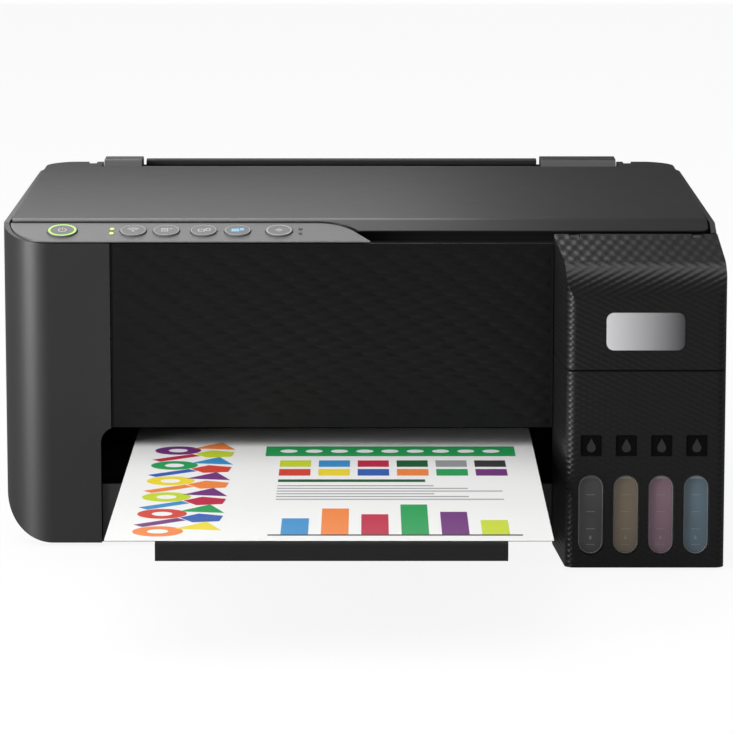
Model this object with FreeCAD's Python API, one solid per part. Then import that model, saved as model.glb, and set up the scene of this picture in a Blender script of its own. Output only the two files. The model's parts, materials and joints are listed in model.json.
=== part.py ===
"""Inkjet printer with a flatbed scanner and refillable ink tanks.

Millimetres, +Z up, the front faces -Y. The origin is the middle of the footprint, on the floor,
with the output tray drawn out as in use.
"""
import FreeCAD, Part
import math
import os

# Overall size
body_width = 375.0
body_depth = 347.0
tray_reach = 184.0           # drawn-out tray in front of the tank face
front_setback = 59.0         # front panel behind the tank face
rim_height = 169.5           # top of the side walls
floor_height = 2.0           # underside of the body on its feet
wall = 2.8
gap = 0.4                    # seam between two fixed covers
play = 0.3                   # room round a moving piece
running_fit = 0.05           # radial room of a shaft or pin in its bore
corner_radius = 25.0         # upright corners of the body
belly_radius = 26.0          # lower long edges of the body
half_width = body_width / 2
tank_face = -(body_depth - tray_reach) / 2
house_face = tank_face + front_setback
rear_face = tank_face + body_depth
far = 2 * body_depth         # reach of a cutting block past every face

# Sheet, which sets the places of the tray, the slot and the edge guide
sheet_width = 210.0
sheet_length = 297.0
sheet_thickness = 0.4
sheet_left = -118.7
sheet_setback = 1.0          # sheet's near edge behind the face of the tray
sheet_right = sheet_left + sheet_width
paper_middle = sheet_left + sheet_width / 2

# Front panel and output opening
opening_past_sheet = 17.3    # room at the left of the sheet
opening_margin = 5.5         # opening past the panel's left edge
opening_overlap = 1.0        # opening past the tank unit's left wall
opening_top = 64.0
opening_radius = 8.5
panel_below_rim = 8.2
panel_thickness = 2.5
panel_flange = 8.0
opening_left = sheet_left - opening_past_sheet
panel_left = opening_left + opening_margin
panel_top = rim_height - panel_below_rim

# Tank unit at the right front
tank_from_sheet = 10.7       # left wall of the unit from the sheet, at its back
tank_taper = 4.0             # left wall drawn in from the face to the back
tank_depth = 70.5
tank_floor = 1.2
tank_wall = 2.5
tank_corner = 5.0
cover_seam = 104.0
cover_brow = 155.9           # where the upright and the sloping face of the cover would meet
cover_brow_radius = 20.0
cover_slope = math.radians(8.3)
cover_skin = 2.2
cover_barrel = 4.5
cover_pin_radius = 1.5
bracket_width = 5.0
bracket_inset = 8.0          # bracket from the side wall of the cover
tank_end_left = 3.8          # unit past the first and the last tank's place
tank_end_right = 5.7
tank_count = 4
window_spacing = 4.3
window_bottom = 7.7
window_top = 49.6
recess_spacing = 6.9
recess_bottom = 59.3
recess_depth = 0.8
badge_width = 40.0
badge_height = 19.3
badge_bottom = 114.3
badge_thickness = 0.8
badge_inset = 20.0
tank_left_back = sheet_right + tank_from_sheet
tank_left_front = tank_left_back + tank_taper
opening_right = tank_left_back + opening_overlap
tank_pitch = (half_width - tank_left_front - tank_end_left - tank_end_right) / tank_count
first_tank_x = tank_left_front + tank_end_left + tank_pitch / 2
window_width = tank_pitch - window_spacing
recess_side = tank_pitch - recess_spacing
badge_left = tank_left_front + badge_inset
cover_axis_back = tank_depth - cover_barrel
cover_axis_height = (cover_brow + cover_axis_back * math.tan(cover_slope)
                     - cover_barrel / math.cos(cover_slope))
bracket_starts = [tank_left_back + bracket_inset, half_width - bracket_inset - bracket_width]

# Ink tanks and caps
TANK_NAMES = ["black", "yellow", "magenta", "cyan"]
tank_spacing = 1.4           # between two tanks
tank_rear_room = 12.5        # behind the tanks, for the cover's hinge brackets
tank_head_room = 4.0         # tank top below the cover's seam
tank_skin = 1.6
neck_back = 30.0
neck_shoulder = 2.3          # tank beside its neck
neck_wall = 1.7
neck_rise = 7.0
cap_spacing = 5.0
cap_thickness = 3.0
cap_nose = 10.0              # cap in front of the neck's middle
cap_tail = 15.0              # cap hinge behind the neck's middle
cap_barrel = 2.2
cap_pin_radius = 1.0
plug_depth = 1.5
plug_play = 0.5
lug_width = 1.4
tank_width = tank_pitch - tank_spacing
neck_outer = tank_width / 2 - neck_shoulder
neck_bore = neck_outer - neck_wall
cap_width = tank_pitch - cap_spacing
tank_back = tank_depth - tank_rear_room
tank_top = cover_seam - tank_head_room
cap_front = neck_back - cap_nose
cap_axis_back = neck_back + cap_tail
cap_axis_height = tank_top + neck_rise + play + cap_thickness / 2

# Rear feeder
feeder_side = 37.5           # feeder block in from the side walls
feeder_depth = 25.5
feeder_over_lid = 2.5
feeder_brow = 4.0            # radius of the block's upper edges
feeder_below_axis = 12.0
slot_margin_left = 9.3       # slot past the sheet
slot_margin_right = 14.7
support_slant = 35.0         # degrees from upright
support_from_rear = 6.0      # face of the paper support at the slot height, from the rear face
slot_width = 14.0            # from the front wall to the support
support_thickness = 3.0
support_length = 118.0
support_side = 2.0           # support in from the ends of the slot
support_head = 5.0
support_head_rise = 2.6
support_head_round = 1.0
chute_bottom = 70.0
chute_wall = 2.6
front_wall_height = 14.0
guide_from_sheet = 0.5
guide_height = 30.0
guide_foot = 12.0
guide_deep = 8.0
feeder_half = half_width - feeder_side
feeder_front = body_depth - feeder_depth
slot_left = sheet_left - slot_margin_left
slot_right = sheet_right + slot_margin_right
support_back = body_depth - support_from_rear
guide_x = sheet_right + guide_from_sheet

# Scanner unit
bed_room = 0.9               # between the scanner bed and the side walls
bed_to_feeder = 9.5
bed_below_rim = 4.5
bed_height = 19.0
bed_wall = 2.4
glass_margin_long = 7.0      # glass past a sheet
glass_margin_short = 10.0
glass_thickness = 3.0
glass_ledge = 3.0
axis_from_rear = 11.0
scanner_axis_rise = 6.0      # above the floor of the bed
arm_clear = 2.5
arm_width = 9.5
arm_radius = 6.0
scanner_pin_radius = 2.0
scan_rod_radius = 3.0
scan_rod_back = 195.0
scan_rod_rise = 6.5
scan_bar_width = 20.0
scan_bar_margin = 6.0
scan_bar_round = 2.0
scan_end_room = 13.4
bed_half = half_width - wall - bed_room
bed_back = feeder_front - bed_to_feeder
bed_top = rim_height - bed_below_rim
bed_floor = bed_top - bed_height
glass_width = sheet_length + glass_margin_long
glass_depth = sheet_width + glass_margin_short
scanner_axis_back = body_depth - axis_from_rear
scanner_axis_height = bed_floor + scanner_axis_rise
hinge_arm_inner = feeder_half + arm_clear
hinge_arm_outer = hinge_arm_inner + arm_width
scan_rod_height = bed_floor + scan_rod_rise
scan_start = scan_bar_width / 2 + scan_end_room + bed_wall - bed_half

# Control panel: buttons and lights by their distance from its left edge
panel_slope_depth = 23.5
panel_over_front = 0.6       # underside above the front panel
panel_edge = 0.5             # height of its front edge
panel_below_walls = 0.3
panel_tip_right = 6.0
panel_tip_lean = 16.0
panel_tip_radius = 25.0
button_inset = 13.0
button_rise = 0.7
button_depth = 1.6
light_radius = 1.1
light_spacing = 5.5
power_place = 27.9
network_place = 65.1
status_place = 82.5
copy_grey_place = 102.1
copy_colour_place = 119.9
stop_place = 141.7
left_lights = 53.9
right_lights = 152.9
power_radius = 7.9
key_radius = 7.0
stop_radius = 7.1
BUTTONS = {
    "power": (power_place, power_radius),
    "network": (network_place, key_radius),
    "status": (status_place, key_radius),
    "copy_grey": (copy_grey_place, key_radius),
    "copy_colour": (copy_colour_place, key_radius),
    "stop": (stop_place, stop_radius),
}
panel_slope_back = front_setback + panel_slope_depth
panel_under = panel_top + panel_over_front
panel_low = panel_under + panel_edge
panel_high = rim_height - panel_below_walls
panel_tip_top = panel_tip_right - panel_tip_lean
panel_corner = corner_radius - wall / 2
button_back = front_setback + button_inset
slope_angle = math.atan2(panel_high - panel_low, panel_slope_depth)
slope_normal = FreeCAD.Vector(0, -math.sin(slope_angle), math.cos(slope_angle))

# Lid
lid_step = 0.4               # lid in from the sides of the bed
lid_seam = 0.8
lid_over_bed = 1.0
lid_from_tanks = 1.0
lid_lip_edge = 0.6           # heights above the underside
lid_crease_rise = 5.0
lid_rear_rise = 7.5
lid_crease_setback = 4.5
lid_round = 2.0
lid_corner = 21.0
lid_from_rear = 9.0
lid_ear_clear = 1.0
lid_axis_rise = 2.2
lid_axis_lead = 2.0          # lid hinge in front of the scanner hinge
lid_pin_radius = 1.2
lid_lug_radius = 2.4
lid_lug_width = 4.0
pad_thickness = 1.0
lid_half = bed_half - lid_step
lid_under = bed_top + lid_over_bed
lid_lip_back = tank_depth + lid_from_tanks
lid_lip_top = lid_under + lid_lip_edge
lid_crease_back = panel_slope_back + lid_crease_setback
lid_front_top = lid_under + lid_crease_rise
lid_rear_top = lid_under + lid_rear_rise
lid_mid_back = bed_back + lid_ear_clear
lid_ear_back = body_depth - lid_from_rear
lid_ear_inner = feeder_half + lid_ear_clear
lid_axis_back = scanner_axis_back - lid_axis_lead
lid_axis_height = lid_under + lid_axis_rise

# Heights of the feeder, which follow the lid and the scanner hinge
feeder_top = lid_rear_top + feeder_over_lid
feeder_under = scanner_axis_height - feeder_below_axis
slot_height = feeder_top - feeder_brow
support_head_top = slot_height + support_head_rise
front_wall_bottom = slot_height - front_wall_height

# Output tray
sheet_over_left = 6.7        # sheet past the tray
sheet_over_right = 3.3
tray_front = -60.0
tray_length = 180.0
tray_travel = 130.0
tray_top = 53.0
tray_height = 12.8
tray_plate = 2.5
slide_inset_left = 17.0
slide_inset_right = 18.0
slide_thickness = 3.0
slide_ledge = 3.7            # thickness of the ledge that carries the extension, with its play
slide_overlap = 40.0
slide_face = 8.0
slide_lip = 10.0             # width of that ledge
slide_round = 2.0
tray_left = sheet_left + sheet_over_left
tray_right = sheet_right - sheet_over_right
tray_under = tray_top - tray_height
slide_left = tray_left + slide_inset_left
slide_right = tray_right - slide_inset_right
slide_floor = tray_under + slide_ledge

# Base
lip_below_tray = 7.2
runner_width = 14.0
runner_guide = 3.6
foot_radius = 8.0
foot_side = 43.5             # feet in from the side walls
foot_inset_front = 27.0
foot_inset_rear = 17.0
base_lip_top = tray_under - lip_below_tray
foot_x = half_width - foot_side
foot_front = front_setback + foot_inset_front
foot_rear = body_depth - foot_inset_rear

# Rollers, gears and feed motor
roller_height = 60.0
feed_back = 205.0
exit_back = 125.0
feed_radius = 6.0
exit_radius = 5.0
shaft_radius = 4.0
roller_end = 2.0             # between a roller's barrel and the side plate
pickup_behind = 58.0         # pickup roller behind the feed roller
pickup_below_slot = 87.0
pickup_radius = 13.0
pickup_width = 34.0
pickup_shaft = 3.0
gear_module = 1.0
gear_teeth = 40
pinion_teeth = 12
gear_width = 5.0
gear_shift = 1.0
idler_shaft = 3.0
motor_length = 24.0
motor_shaft = 1.5
motor_bore = 3.0
motor_shaft_depth = 12.0
feed_motor_radius = 11.0
pickup_back = feed_back + pickup_behind
pickup_height = slot_height - pickup_below_slot
idler_y = tank_face + (feed_back + exit_back) / 2
pinion_y = tank_face + feed_back + gear_module * (gear_teeth + pinion_teeth) / 2

# Sheet-metal frame
frame_side = 35.5            # side plates in from the side walls
frame_sheet = 3.0
frame_head = 30.0            # above the belt
plate_margin = 12.0          # metal round a bore
plate_step = 4.0
plate_lean = 2.0
plate_round = 8.0
head_front = 14.0
head_rear = 20.0
back_plate_sheet = 2.0
back_plate_lip = 10.0
back_plate_rise = 3.0
stub_end = 1.0               # stub axle past the wheel that it carries
frame_half = half_width - frame_side
gear_right = -frame_half - frame_sheet - gear_shift
gear_left = gear_right - gear_width

# Ink carriage and its belt drive
platen_top = 64.5
carriage_rod_lead = 17.0     # rod in front of the feed roller
carriage_rod_height = 80.0
carriage_rod_radius = 4.0
carriage_width = 68.0
carriage_depth = 50.0
carriage_height = 50.0
carriage_from_rod = 8.0
carriage_from_frame = 42.0   # middle of the carriage from the side plate, at home
carriage_lift = 3.5          # above the platen
carriage_wall = 3.0
carriage_floor = 12.0
carriage_round = 6.0
nose_height = 26.0
nose_setback = 10.0
well_rear = 4.0
boss_half = 7.0
boss_behind = 6.0
boss_round = 4.0
boss_root = 1.0
clip_half = 9.0
clip_plate = 2.5
head_half = 20.0
head_setback = 6.0
head_depth = 34.0
head_drop = 1.8
belt_height = 95.0
belt_width = 4.0
belt_thickness = 1.0
belt_behind_rod = 1.0
back_plate_behind_rod = 8.0
pulley_radius = 6.0
pulley_inset = 18.0
pulley_shaft = 2.0
carriage_motor_radius = 14.0
spindle_depth = 10.0
carriage_rod_back = feed_back - carriage_rod_lead
carriage_home = frame_half - carriage_from_frame
belt_back = carriage_rod_back + belt_behind_rod
back_plate = carriage_rod_back + back_plate_behind_rod
pulley_x = frame_half - pulley_inset
frame_top = belt_height + frame_head

# Platen and capping station
platen_thickness = 7.5
platen_from_exit = 9.0
platen_from_feed = 8.0
rib_height = 2.5
rib_width = 1.6
rib_pitch = 20.0
ribs_each_side = 5
station_from_tray = 8.0
station_from_frame = 6.0
station_room = 1.0
station_front = 4.0
station_rear = 21.0
station_drop = 1.0           # rim below the platen
station_rim_side = 8.0
station_rim_end = 4.0
station_cup = 4.0

# Main board on posts of the left housing, power supply and waste ink pad
board_stand_off = 12.0
board_thickness = 1.6
board_front = 130.0
board_length = 170.0
board_low = 34.0
board_height = 90.0
post_radius = 3.0
post_inset = 8.0
supply_from_tray = 12.0
supply_from_frame = 6.0
supply_before_pickup = 33.0
supply_from_inlet = 3.0
supply_height = 54.0
waste_half = 60.0
waste_behind_tray = 12.0
waste_from_wall = 20.2       # pad in front of the rear wall
waste_height = 34.0
board_x = board_stand_off + wall - half_width
board_rear = board_front + board_length
board_top = board_low + board_height

# Rear sockets
socket_depth = 14.0
inlet_side = 32.0            # middle of the inlet in from the end of the feeder block
inlet_height = 30.0
inlet_width = 26.0
inlet_tall = 18.0
inlet_mouth_width = 19.0
inlet_mouth_height = 10.0
inlet_mouth_depth = 11.0
contact_radius = 1.2
port_side = 40.0
port_height = 34.0
port_width = 15.0
port_tall = 14.0
port_mouth_width = 9.0
port_mouth_height = 8.4
port_mouth_depth = 11.0
inlet_x = feeder_half - inlet_side
port_x = port_side - feeder_half

hinge_pins = []              # steel pins of the hinges on the base, kept as one group
motors = []                  # feed motor and carriage motor, kept as one group

AXES = {
    "plan": (FreeCAD.Vector(1, 0, 0), FreeCAD.Vector(0, 1, 0), FreeCAD.Vector(0, 0, 1)),
    "front": (FreeCAD.Vector(1, 0, 0), FreeCAD.Vector(0, 0, 1), FreeCAD.Vector(0, 1, 0)),
    "side": (FreeCAD.Vector(0, 1, 0), FreeCAD.Vector(0, 0, 1), FreeCAD.Vector(1, 0, 0)),
}


def back(distance):
    """Y of a place that lies this far behind the tank face."""
    return tank_face + distance


def rounded_wire(corners, at):
    """Closed outline through (u, w) or (u, w, radius) corners, each radius a tangent arc."""
    points = [FreeCAD.Vector(corner[0], corner[1], 0) for corner in corners]
    stops = []
    for index, point in enumerate(points):
        radius = corners[index][2] if len(corners[index]) > 2 else 0
        if radius <= 0:
            stops.append((point, None, point))
            continue
        to_last = (points[index - 1] - point).normalize()
        to_next = (points[(index + 1) % len(points)] - point).normalize()
        half_turn = to_last.getAngle(to_next) / 2
        reach = radius / math.tan(half_turn)
        inward = (to_last + to_next).normalize()
        middle = point + inward * (radius / math.sin(half_turn) - radius)
        stops.append((point + to_last * reach, middle, point + to_next * reach))
    edges = []
    for index, (start, middle, end) in enumerate(stops):
        if middle is not None:
            edges.append(Part.Arc(at(start), at(middle), at(end)).toShape())
        following = stops[(index + 1) % len(stops)][0]
        if (following - end).Length > 1e-6:
            edges.append(Part.LineSegment(at(end), at(following)).toShape())
    return Part.Wire(edges)


def prism(plane, corners, start, end):
    """Solid with the given outline in the plan, front or side view, from start to end across it."""
    across, up, along = AXES[plane]

    def at(point):
        return across * point.x + up * point.y + along * start

    return Part.Face(rounded_wire(corners, at)).extrude(along * (end - start))


def box(x0, x1, y0, y1, z0, z1):
    return Part.makeBox(x1 - x0, y1 - y0, z1 - z0, FreeCAD.Vector(x0, y0, z0))


def rod(axis, first, second, radius, start, end):
    """Round bar along x, y or z; first and second are its other two coordinates in order."""
    place = {"x": (start, first, second), "y": (first, start, second), "z": (first, second, start)}[axis]
    way = {"x": (1, 0, 0), "y": (0, 1, 0), "z": (0, 0, 1)}[axis]
    return Part.makeCylinder(radius, end - start, FreeCAD.Vector(*place), FreeCAD.Vector(*way))


def joined(pieces):
    whole = pieces[0]
    for piece in pieces[1:]:
        whole = whole.fuse(piece)
    return whole.removeSplitter()


def without(solid, cutters):
    for cutter in cutters:
        solid = solid.cut(cutter)
    return solid


def save(name, *solids):
    """Write one node; several solids make a group."""
    shape = solids[0] if len(solids) == 1 else Part.makeCompound(list(solids))
    count = len(shape.Solids)
    print(f"{name}: {count} solid(s), {shape.Volume / 1000:.2f} cm3, valid {shape.isValid()}")
    shape.exportStep(f"parts/{name}.step")


def body_block(inset):
    """Filled form of the lower body, drawn in from its outer faces by inset."""
    side = half_width - inset
    round_plan = corner_radius - inset
    round_belly = belly_radius - inset
    low = floor_height + inset
    high = rim_height + inset
    plan = prism("plan", [
        (-side, house_face + inset, round_plan), (side, house_face + inset),
        (side, rear_face - inset, round_plan), (-side, rear_face - inset, round_plan)], low, high)
    front = prism("front", [
        (-side, low, round_belly), (side, low, round_belly), (side, high), (-side, high)], -far, far)
    return plan.common(front)


def slope_rise(distance):
    """Height of the control panel's slope this far behind the tank face."""
    share = (distance - front_setback) / (panel_slope_back - front_setback)
    return panel_low + share * (panel_high - panel_low)


def output_opening():
    return prism("front", [
        (opening_left, -far), (opening_right, -far), (opening_right, opening_top),
        (opening_left, opening_top, opening_radius)], -far, house_face + corner_radius)


def make_housings():
    """Left and right side shells, cut free of the front panel, the base and the feeder block."""
    shell = body_block(0).cut(body_block(wall))
    slope = prism("side", [
        (house_face, 0), (rear_face, 0), (rear_face, rim_height), (back(panel_slope_back), rim_height),
        (house_face, panel_top)], -half_width, half_width)
    shell = shell.common(slope)
    inner = half_width - wall
    base_seam = half_width - belly_radius
    hinge_room = box(-inner, inner, back(feeder_front), rear_face + gap, feeder_under, far)
    feeder_room = box(-feeder_half - gap, feeder_half + gap, back(feeder_front), rear_face + gap, 0, far)
    floor_room = box(-base_seam, base_seam, house_face + wall, rear_face + gap, 0, floor_height + wall)
    panel_room = prism("plan", panel_outline(gap), panel_top + gap / 4, far)
    shell = without(shell, [hinge_room, feeder_room, floor_room, panel_room])
    left_side = shell.common(box(-half_width, panel_left, house_face, rear_face, 0, rim_height))
    posts = [rod("x", y, z, post_radius, -inner - wall / 2, board_x)
             for y in (back(board_front + post_inset), back(board_rear - post_inset))
             for z in (board_low + post_inset, board_top - post_inset)]
    right_front = back(tank_depth + gap)
    right_side = shell.common(box(-panel_left, half_width, right_front, rear_face, 0, rim_height))
    save("left_housing", joined([left_side.cut(output_opening())] + posts))
    save("right_housing", right_side)


def make_front_panel():
    """Channel-shaped panel above the output opening, its edges turned back."""
    front = house_face
    inside = front + panel_thickness
    low = opening_top
    channel = prism("side", [
        (front, low), (inside + panel_flange, low), (inside + panel_flange, low + panel_thickness),
        (inside, low + panel_thickness), (inside, panel_top - panel_thickness),
        (inside + panel_flange, panel_top - panel_thickness), (inside + panel_flange, panel_top),
        (front, panel_top)], panel_left + gap, tank_left_back - gap)
    save("front_panel", channel.cut(output_opening()))


def tank_plan(inset, low, high):
    """Plan form of the tank unit: square at the right, its left wall drawn in towards the back."""
    radius = tank_corner - inset
    return prism("plan", [
        (tank_left_front + inset, tank_face + inset, radius), (half_width - inset, tank_face + inset,
                                                               radius),
        (half_width - inset, back(tank_depth - inset)), (tank_left_back + inset, back(tank_depth - inset)),
        (tank_left_back + inset, house_face)], low, high)


def tank_x(index):
    return first_tank_x + index * tank_pitch


def make_tank_housing():
    """Open-topped box with level windows, square recesses and the two brackets of the cover hinge."""
    shell = tank_plan(0, tank_floor, cover_seam - gap / 2)
    shell = shell.cut(tank_plan(tank_wall, tank_floor + tank_wall, far))
    cuts = []
    for index in range(tank_count):
        left = tank_x(index) - window_width / 2
        right = left + window_width
        round_end = window_width / 2
        cuts.append(prism("front", [
            (left, window_bottom, round_end), (right, window_bottom, round_end),
            (right, window_top, round_end), (left, window_top, round_end)],
            tank_face - tank_wall, tank_face + tank_wall))
        mark = tank_x(index) - recess_side / 2
        cuts.append(box(mark, mark + recess_side, tank_face - tank_wall, tank_face + recess_depth,
                        recess_bottom, recess_bottom + recess_side))
    shell = without(shell, cuts)
    eye = cover_barrel - gap
    axis_y = back(cover_axis_back)
    low = cover_seam - 2 * cover_barrel
    bracket_side = [
        (axis_y - eye, low), (axis_y + eye, low), (axis_y + eye, cover_axis_height + eye, eye),
        (axis_y - eye, cover_axis_height + eye, eye)]
    brackets = [prism("side", bracket_side, start, start + bracket_width) for start in bracket_starts]
    bore = rod("x", axis_y, cover_axis_height, cover_pin_radius + running_fit, -far, far)
    save("tank_housing", joined([shell] + brackets).cut(bore))


def make_tank_cover():
    """Domed cover, hinged along a barrel at its top rear edge."""
    rise = math.tan(cover_slope)
    drop = cover_skin / math.cos(cover_slope)
    axis_y = back(cover_axis_back)
    rear = back(tank_depth)
    low = cover_seam + gap / 2
    outer = prism("side", [
        (tank_face, low), (tank_face, cover_brow, cover_brow_radius),
        (rear, cover_brow + tank_depth * rise, cover_barrel), (rear, low)], tank_left_back, half_width)
    barrel_front = cover_axis_back - cover_barrel
    barrel_low = cover_axis_height - cover_barrel
    inner = prism("side", [
        (tank_face + cover_skin, 0),
        (tank_face + cover_skin, cover_brow + cover_skin * rise - drop, cover_brow_radius - cover_skin),
        (back(barrel_front), cover_brow + barrel_front * rise - drop), (back(barrel_front), barrel_low),
        (rear + cover_skin, barrel_low), (rear + cover_skin, 0)], tank_left_back, half_width)
    hollow = inner.common(tank_plan(cover_skin, 0, far))
    mouth = box(tank_left_back + cover_skin, half_width - cover_skin, axis_y, rear + cover_skin, 0,
                barrel_low)
    shell = outer.common(tank_plan(0, 0, far))
    notches = [box(start - gap, start + bracket_width + gap, back(barrel_front) - cover_skin,
                   rear + cover_skin,
                   barrel_low - cover_skin, far) for start in bracket_starts]
    bore_ends = (tank_left_back + cover_skin, half_width - cover_skin)
    bore = rod("x", axis_y, cover_axis_height, cover_pin_radius + running_fit, *bore_ends)
    badge_room = badge_prism(gap / 4, tank_face - badge_thickness, tank_face + badge_thickness / 2)
    save("tank_cover", without(shell, [hollow, mouth, bore, badge_room] + notches))
    hinge_pins.append(rod("x", axis_y, cover_axis_height, cover_pin_radius, bore_ends[0] + gap,
                          bore_ends[1] - gap))
    save("badge_plate", badge_prism(0, tank_face - badge_thickness / 2, tank_face + badge_thickness / 2))


def badge_prism(grow, start, end):
    """Rounded plate on the face of the cover."""
    radius = badge_height / 5
    right = badge_left + badge_width
    top = badge_bottom + badge_height
    return prism("front", [
        (badge_left - grow, badge_bottom - grow, radius), (right + grow, badge_bottom - grow, radius),
        (right + grow, top + grow, radius), (badge_left - grow, top + grow, radius)], start, end)


def make_tanks():
    """Four hollow tanks with filler necks, and the hinged caps that close them."""
    tank_front = tank_wall + play
    low = tank_floor + tank_wall + play
    axis_y = back(cap_axis_back)
    for index, colour in enumerate(TANK_NAMES):
        centre = tank_x(index)
        half = tank_width / 2
        shell = box(centre - half, centre + half, back(tank_front), back(tank_back), low, tank_top)
        hollow = box(centre - half + tank_skin, centre + half - tank_skin, back(tank_front + tank_skin),
                     back(tank_back - tank_skin), low + tank_skin, tank_top - tank_skin)
        neck_y = back(neck_back)
        neck = rod("z", centre, neck_y, neck_outer, tank_top - tank_skin / 2, tank_top + neck_rise)
        mouth = rod("z", centre, neck_y, neck_bore, tank_top - 2 * tank_skin, tank_top + neck_rise)
        lug_side = [
            (axis_y - 2 * cap_barrel, tank_top), (axis_y + 2 * cap_barrel, tank_top),
            (axis_y + cap_barrel, cap_axis_height + cap_barrel, cap_barrel / 2),
            (axis_y - cap_barrel, cap_axis_height + cap_barrel, cap_barrel / 2)]
        lug_start = cap_width / 2 + play
        lugs = [prism("side", lug_side, centre + lug_start, centre + lug_start + lug_width),
                prism("side", lug_side, centre - lug_start - lug_width, centre - lug_start)]
        bore = rod("x", axis_y, cap_axis_height, cap_pin_radius + running_fit, centre - half, centre + half)
        tank = without(joined([shell.cut(hollow), neck] + lugs), [mouth, bore])
        save(f"{colour}_tank", tank)

        cap_low = tank_top + neck_rise + play
        cap_round = cap_width / 3
        plate = prism("plan", [
            (centre - cap_width / 2, back(cap_front), cap_round),
            (centre + cap_width / 2, back(cap_front), cap_round),
            (centre + cap_width / 2, axis_y), (centre - cap_width / 2, axis_y)], cap_low,
            cap_low + cap_thickness)
        barrel = rod("x", axis_y, cap_axis_height, cap_barrel, centre - cap_width / 2,
                     centre + cap_width / 2)
        plug = rod("z", centre, neck_y, neck_bore - plug_play, cap_low - plug_depth,
                   cap_low + cap_thickness / 2)
        save(f"{colour}_cap", joined([plate, barrel, plug]).cut(bore))
        reach = lug_start + lug_width
        hinge_pins.append(rod("x", axis_y, cap_axis_height, cap_pin_radius, centre - reach, centre + reach))


def both_sides(make):
    """The right-hand piece and its mirror image."""
    piece = make()
    return [piece, piece.mirror(FreeCAD.Vector(0, 0, 0), FreeCAD.Vector(1, 0, 0))]


def make_scanner_bed():
    """Scanner tray with its glass, lifted on two arms at the rear that also carry the lid hinge."""
    front = back(panel_slope_back)
    rear = back(bed_back)
    plate_low = bed_top - glass_thickness - glass_ledge / 2
    shell = box(-bed_half, bed_half, front, rear, bed_floor, bed_top)
    hollow = box(-bed_half + bed_wall, bed_half - bed_wall, front + bed_wall, rear - bed_wall,
                 bed_floor + bed_wall, plate_low)
    middle = (front + rear) / 2
    seat = box(-glass_width / 2 - gap / 4, glass_width / 2 + gap / 4, middle - glass_depth / 2 - gap / 4,
               middle + glass_depth / 2 + gap / 4, bed_top - glass_thickness, far)
    view = box(-glass_width / 2 + glass_ledge, glass_width / 2 - glass_ledge,
               middle - glass_depth / 2 + glass_ledge,
               middle + glass_depth / 2 - glass_ledge, plate_low - bed_wall, far)
    axis_y = back(scanner_axis_back)
    arm_side = [
        (rear - bed_wall, scanner_axis_height - arm_radius),
        (axis_y + arm_radius, scanner_axis_height - arm_radius, arm_radius),
        (axis_y + arm_radius, scanner_axis_height + arm_radius, arm_radius),
        (rear - bed_wall, scanner_axis_height + arm_radius)]
    lid_axis_y = back(lid_axis_back)
    lug_side = [
        (lid_axis_y - lid_lug_radius, scanner_axis_height),
        (lid_axis_y + lid_lug_radius, scanner_axis_height),
        (lid_axis_y + lid_lug_radius, lid_axis_height + lid_lug_radius, lid_lug_radius),
        (lid_axis_y - lid_lug_radius, lid_axis_height + lid_lug_radius, lid_lug_radius)]
    arms = both_sides(lambda: prism("side", arm_side, hinge_arm_inner, hinge_arm_outer))
    lug_start = (hinge_arm_inner + hinge_arm_outer - lid_lug_width) / 2
    lugs = both_sides(lambda: prism("side", lug_side, lug_start, lug_start + lid_lug_width))
    pin_bore = rod("x", axis_y, scanner_axis_height, scanner_pin_radius + running_fit, -far, far)
    lid_bore = rod("x", lid_axis_y, lid_axis_height, lid_pin_radius + running_fit, -far, far)
    bed = without(shell, [hollow, seat, view])
    save("scanner_bed", without(joined([bed] + arms + lugs), [pin_bore, lid_bore]))
    save("scanner_glass", box(-glass_width / 2, glass_width / 2, middle - glass_depth / 2,
                              middle + glass_depth / 2,
                              bed_top - glass_thickness, bed_top))
    pin_start = feeder_half - 4 * scanner_pin_radius
    hinge_pins.extend(both_sides(lambda: rod(
        "x", axis_y, scanner_axis_height, scanner_pin_radius, pin_start, hinge_arm_outer)))
    save("lid_hinge_pins", *both_sides(lambda: rod(
        "x", lid_axis_y, lid_axis_height, lid_pin_radius, hinge_arm_inner, hinge_arm_outer)))

    rod_y = back(scan_rod_back)
    rod_end = bed_half - bed_wall
    save("scan_rod", rod("x", rod_y, scan_rod_height, scan_rod_radius, -rod_end, rod_end))
    bar = prism("side", [
        (front + scan_bar_margin, bed_floor + bed_wall + 2 * play, scan_bar_round),
        (rear - scan_bar_margin, bed_floor + bed_wall + 2 * play, scan_bar_round),
        (rear - scan_bar_margin, plate_low - play, scan_bar_round),
        (front + scan_bar_margin, plate_low - play, scan_bar_round)],
        scan_start - scan_bar_width / 2, scan_start + scan_bar_width / 2)
    bush = rod("x", rod_y, scan_rod_height, scan_rod_radius + running_fit, -far, far)
    save("scan_carriage", bar.cut(bush))


def panel_outline(grow):
    """Plan of the control panel: round at the front left, swept to a tip at the right."""
    return [
        (-bed_half - grow, back(panel_slope_back)),
        (-bed_half - grow, house_face + gap - 2 * grow, panel_corner),
        (panel_tip_right + grow, house_face + gap - 2 * grow),
        (panel_tip_top + grow, back(panel_slope_back), panel_tip_radius)]


def on_slope(x, distance, radius, depth, rise):
    """Round piece square to the control panel, from depth below its face to rise above it."""
    face = FreeCAD.Vector(x, back(distance), slope_rise(distance))
    return Part.makeCylinder(radius, depth + rise, face - slope_normal * depth, slope_normal)


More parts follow.
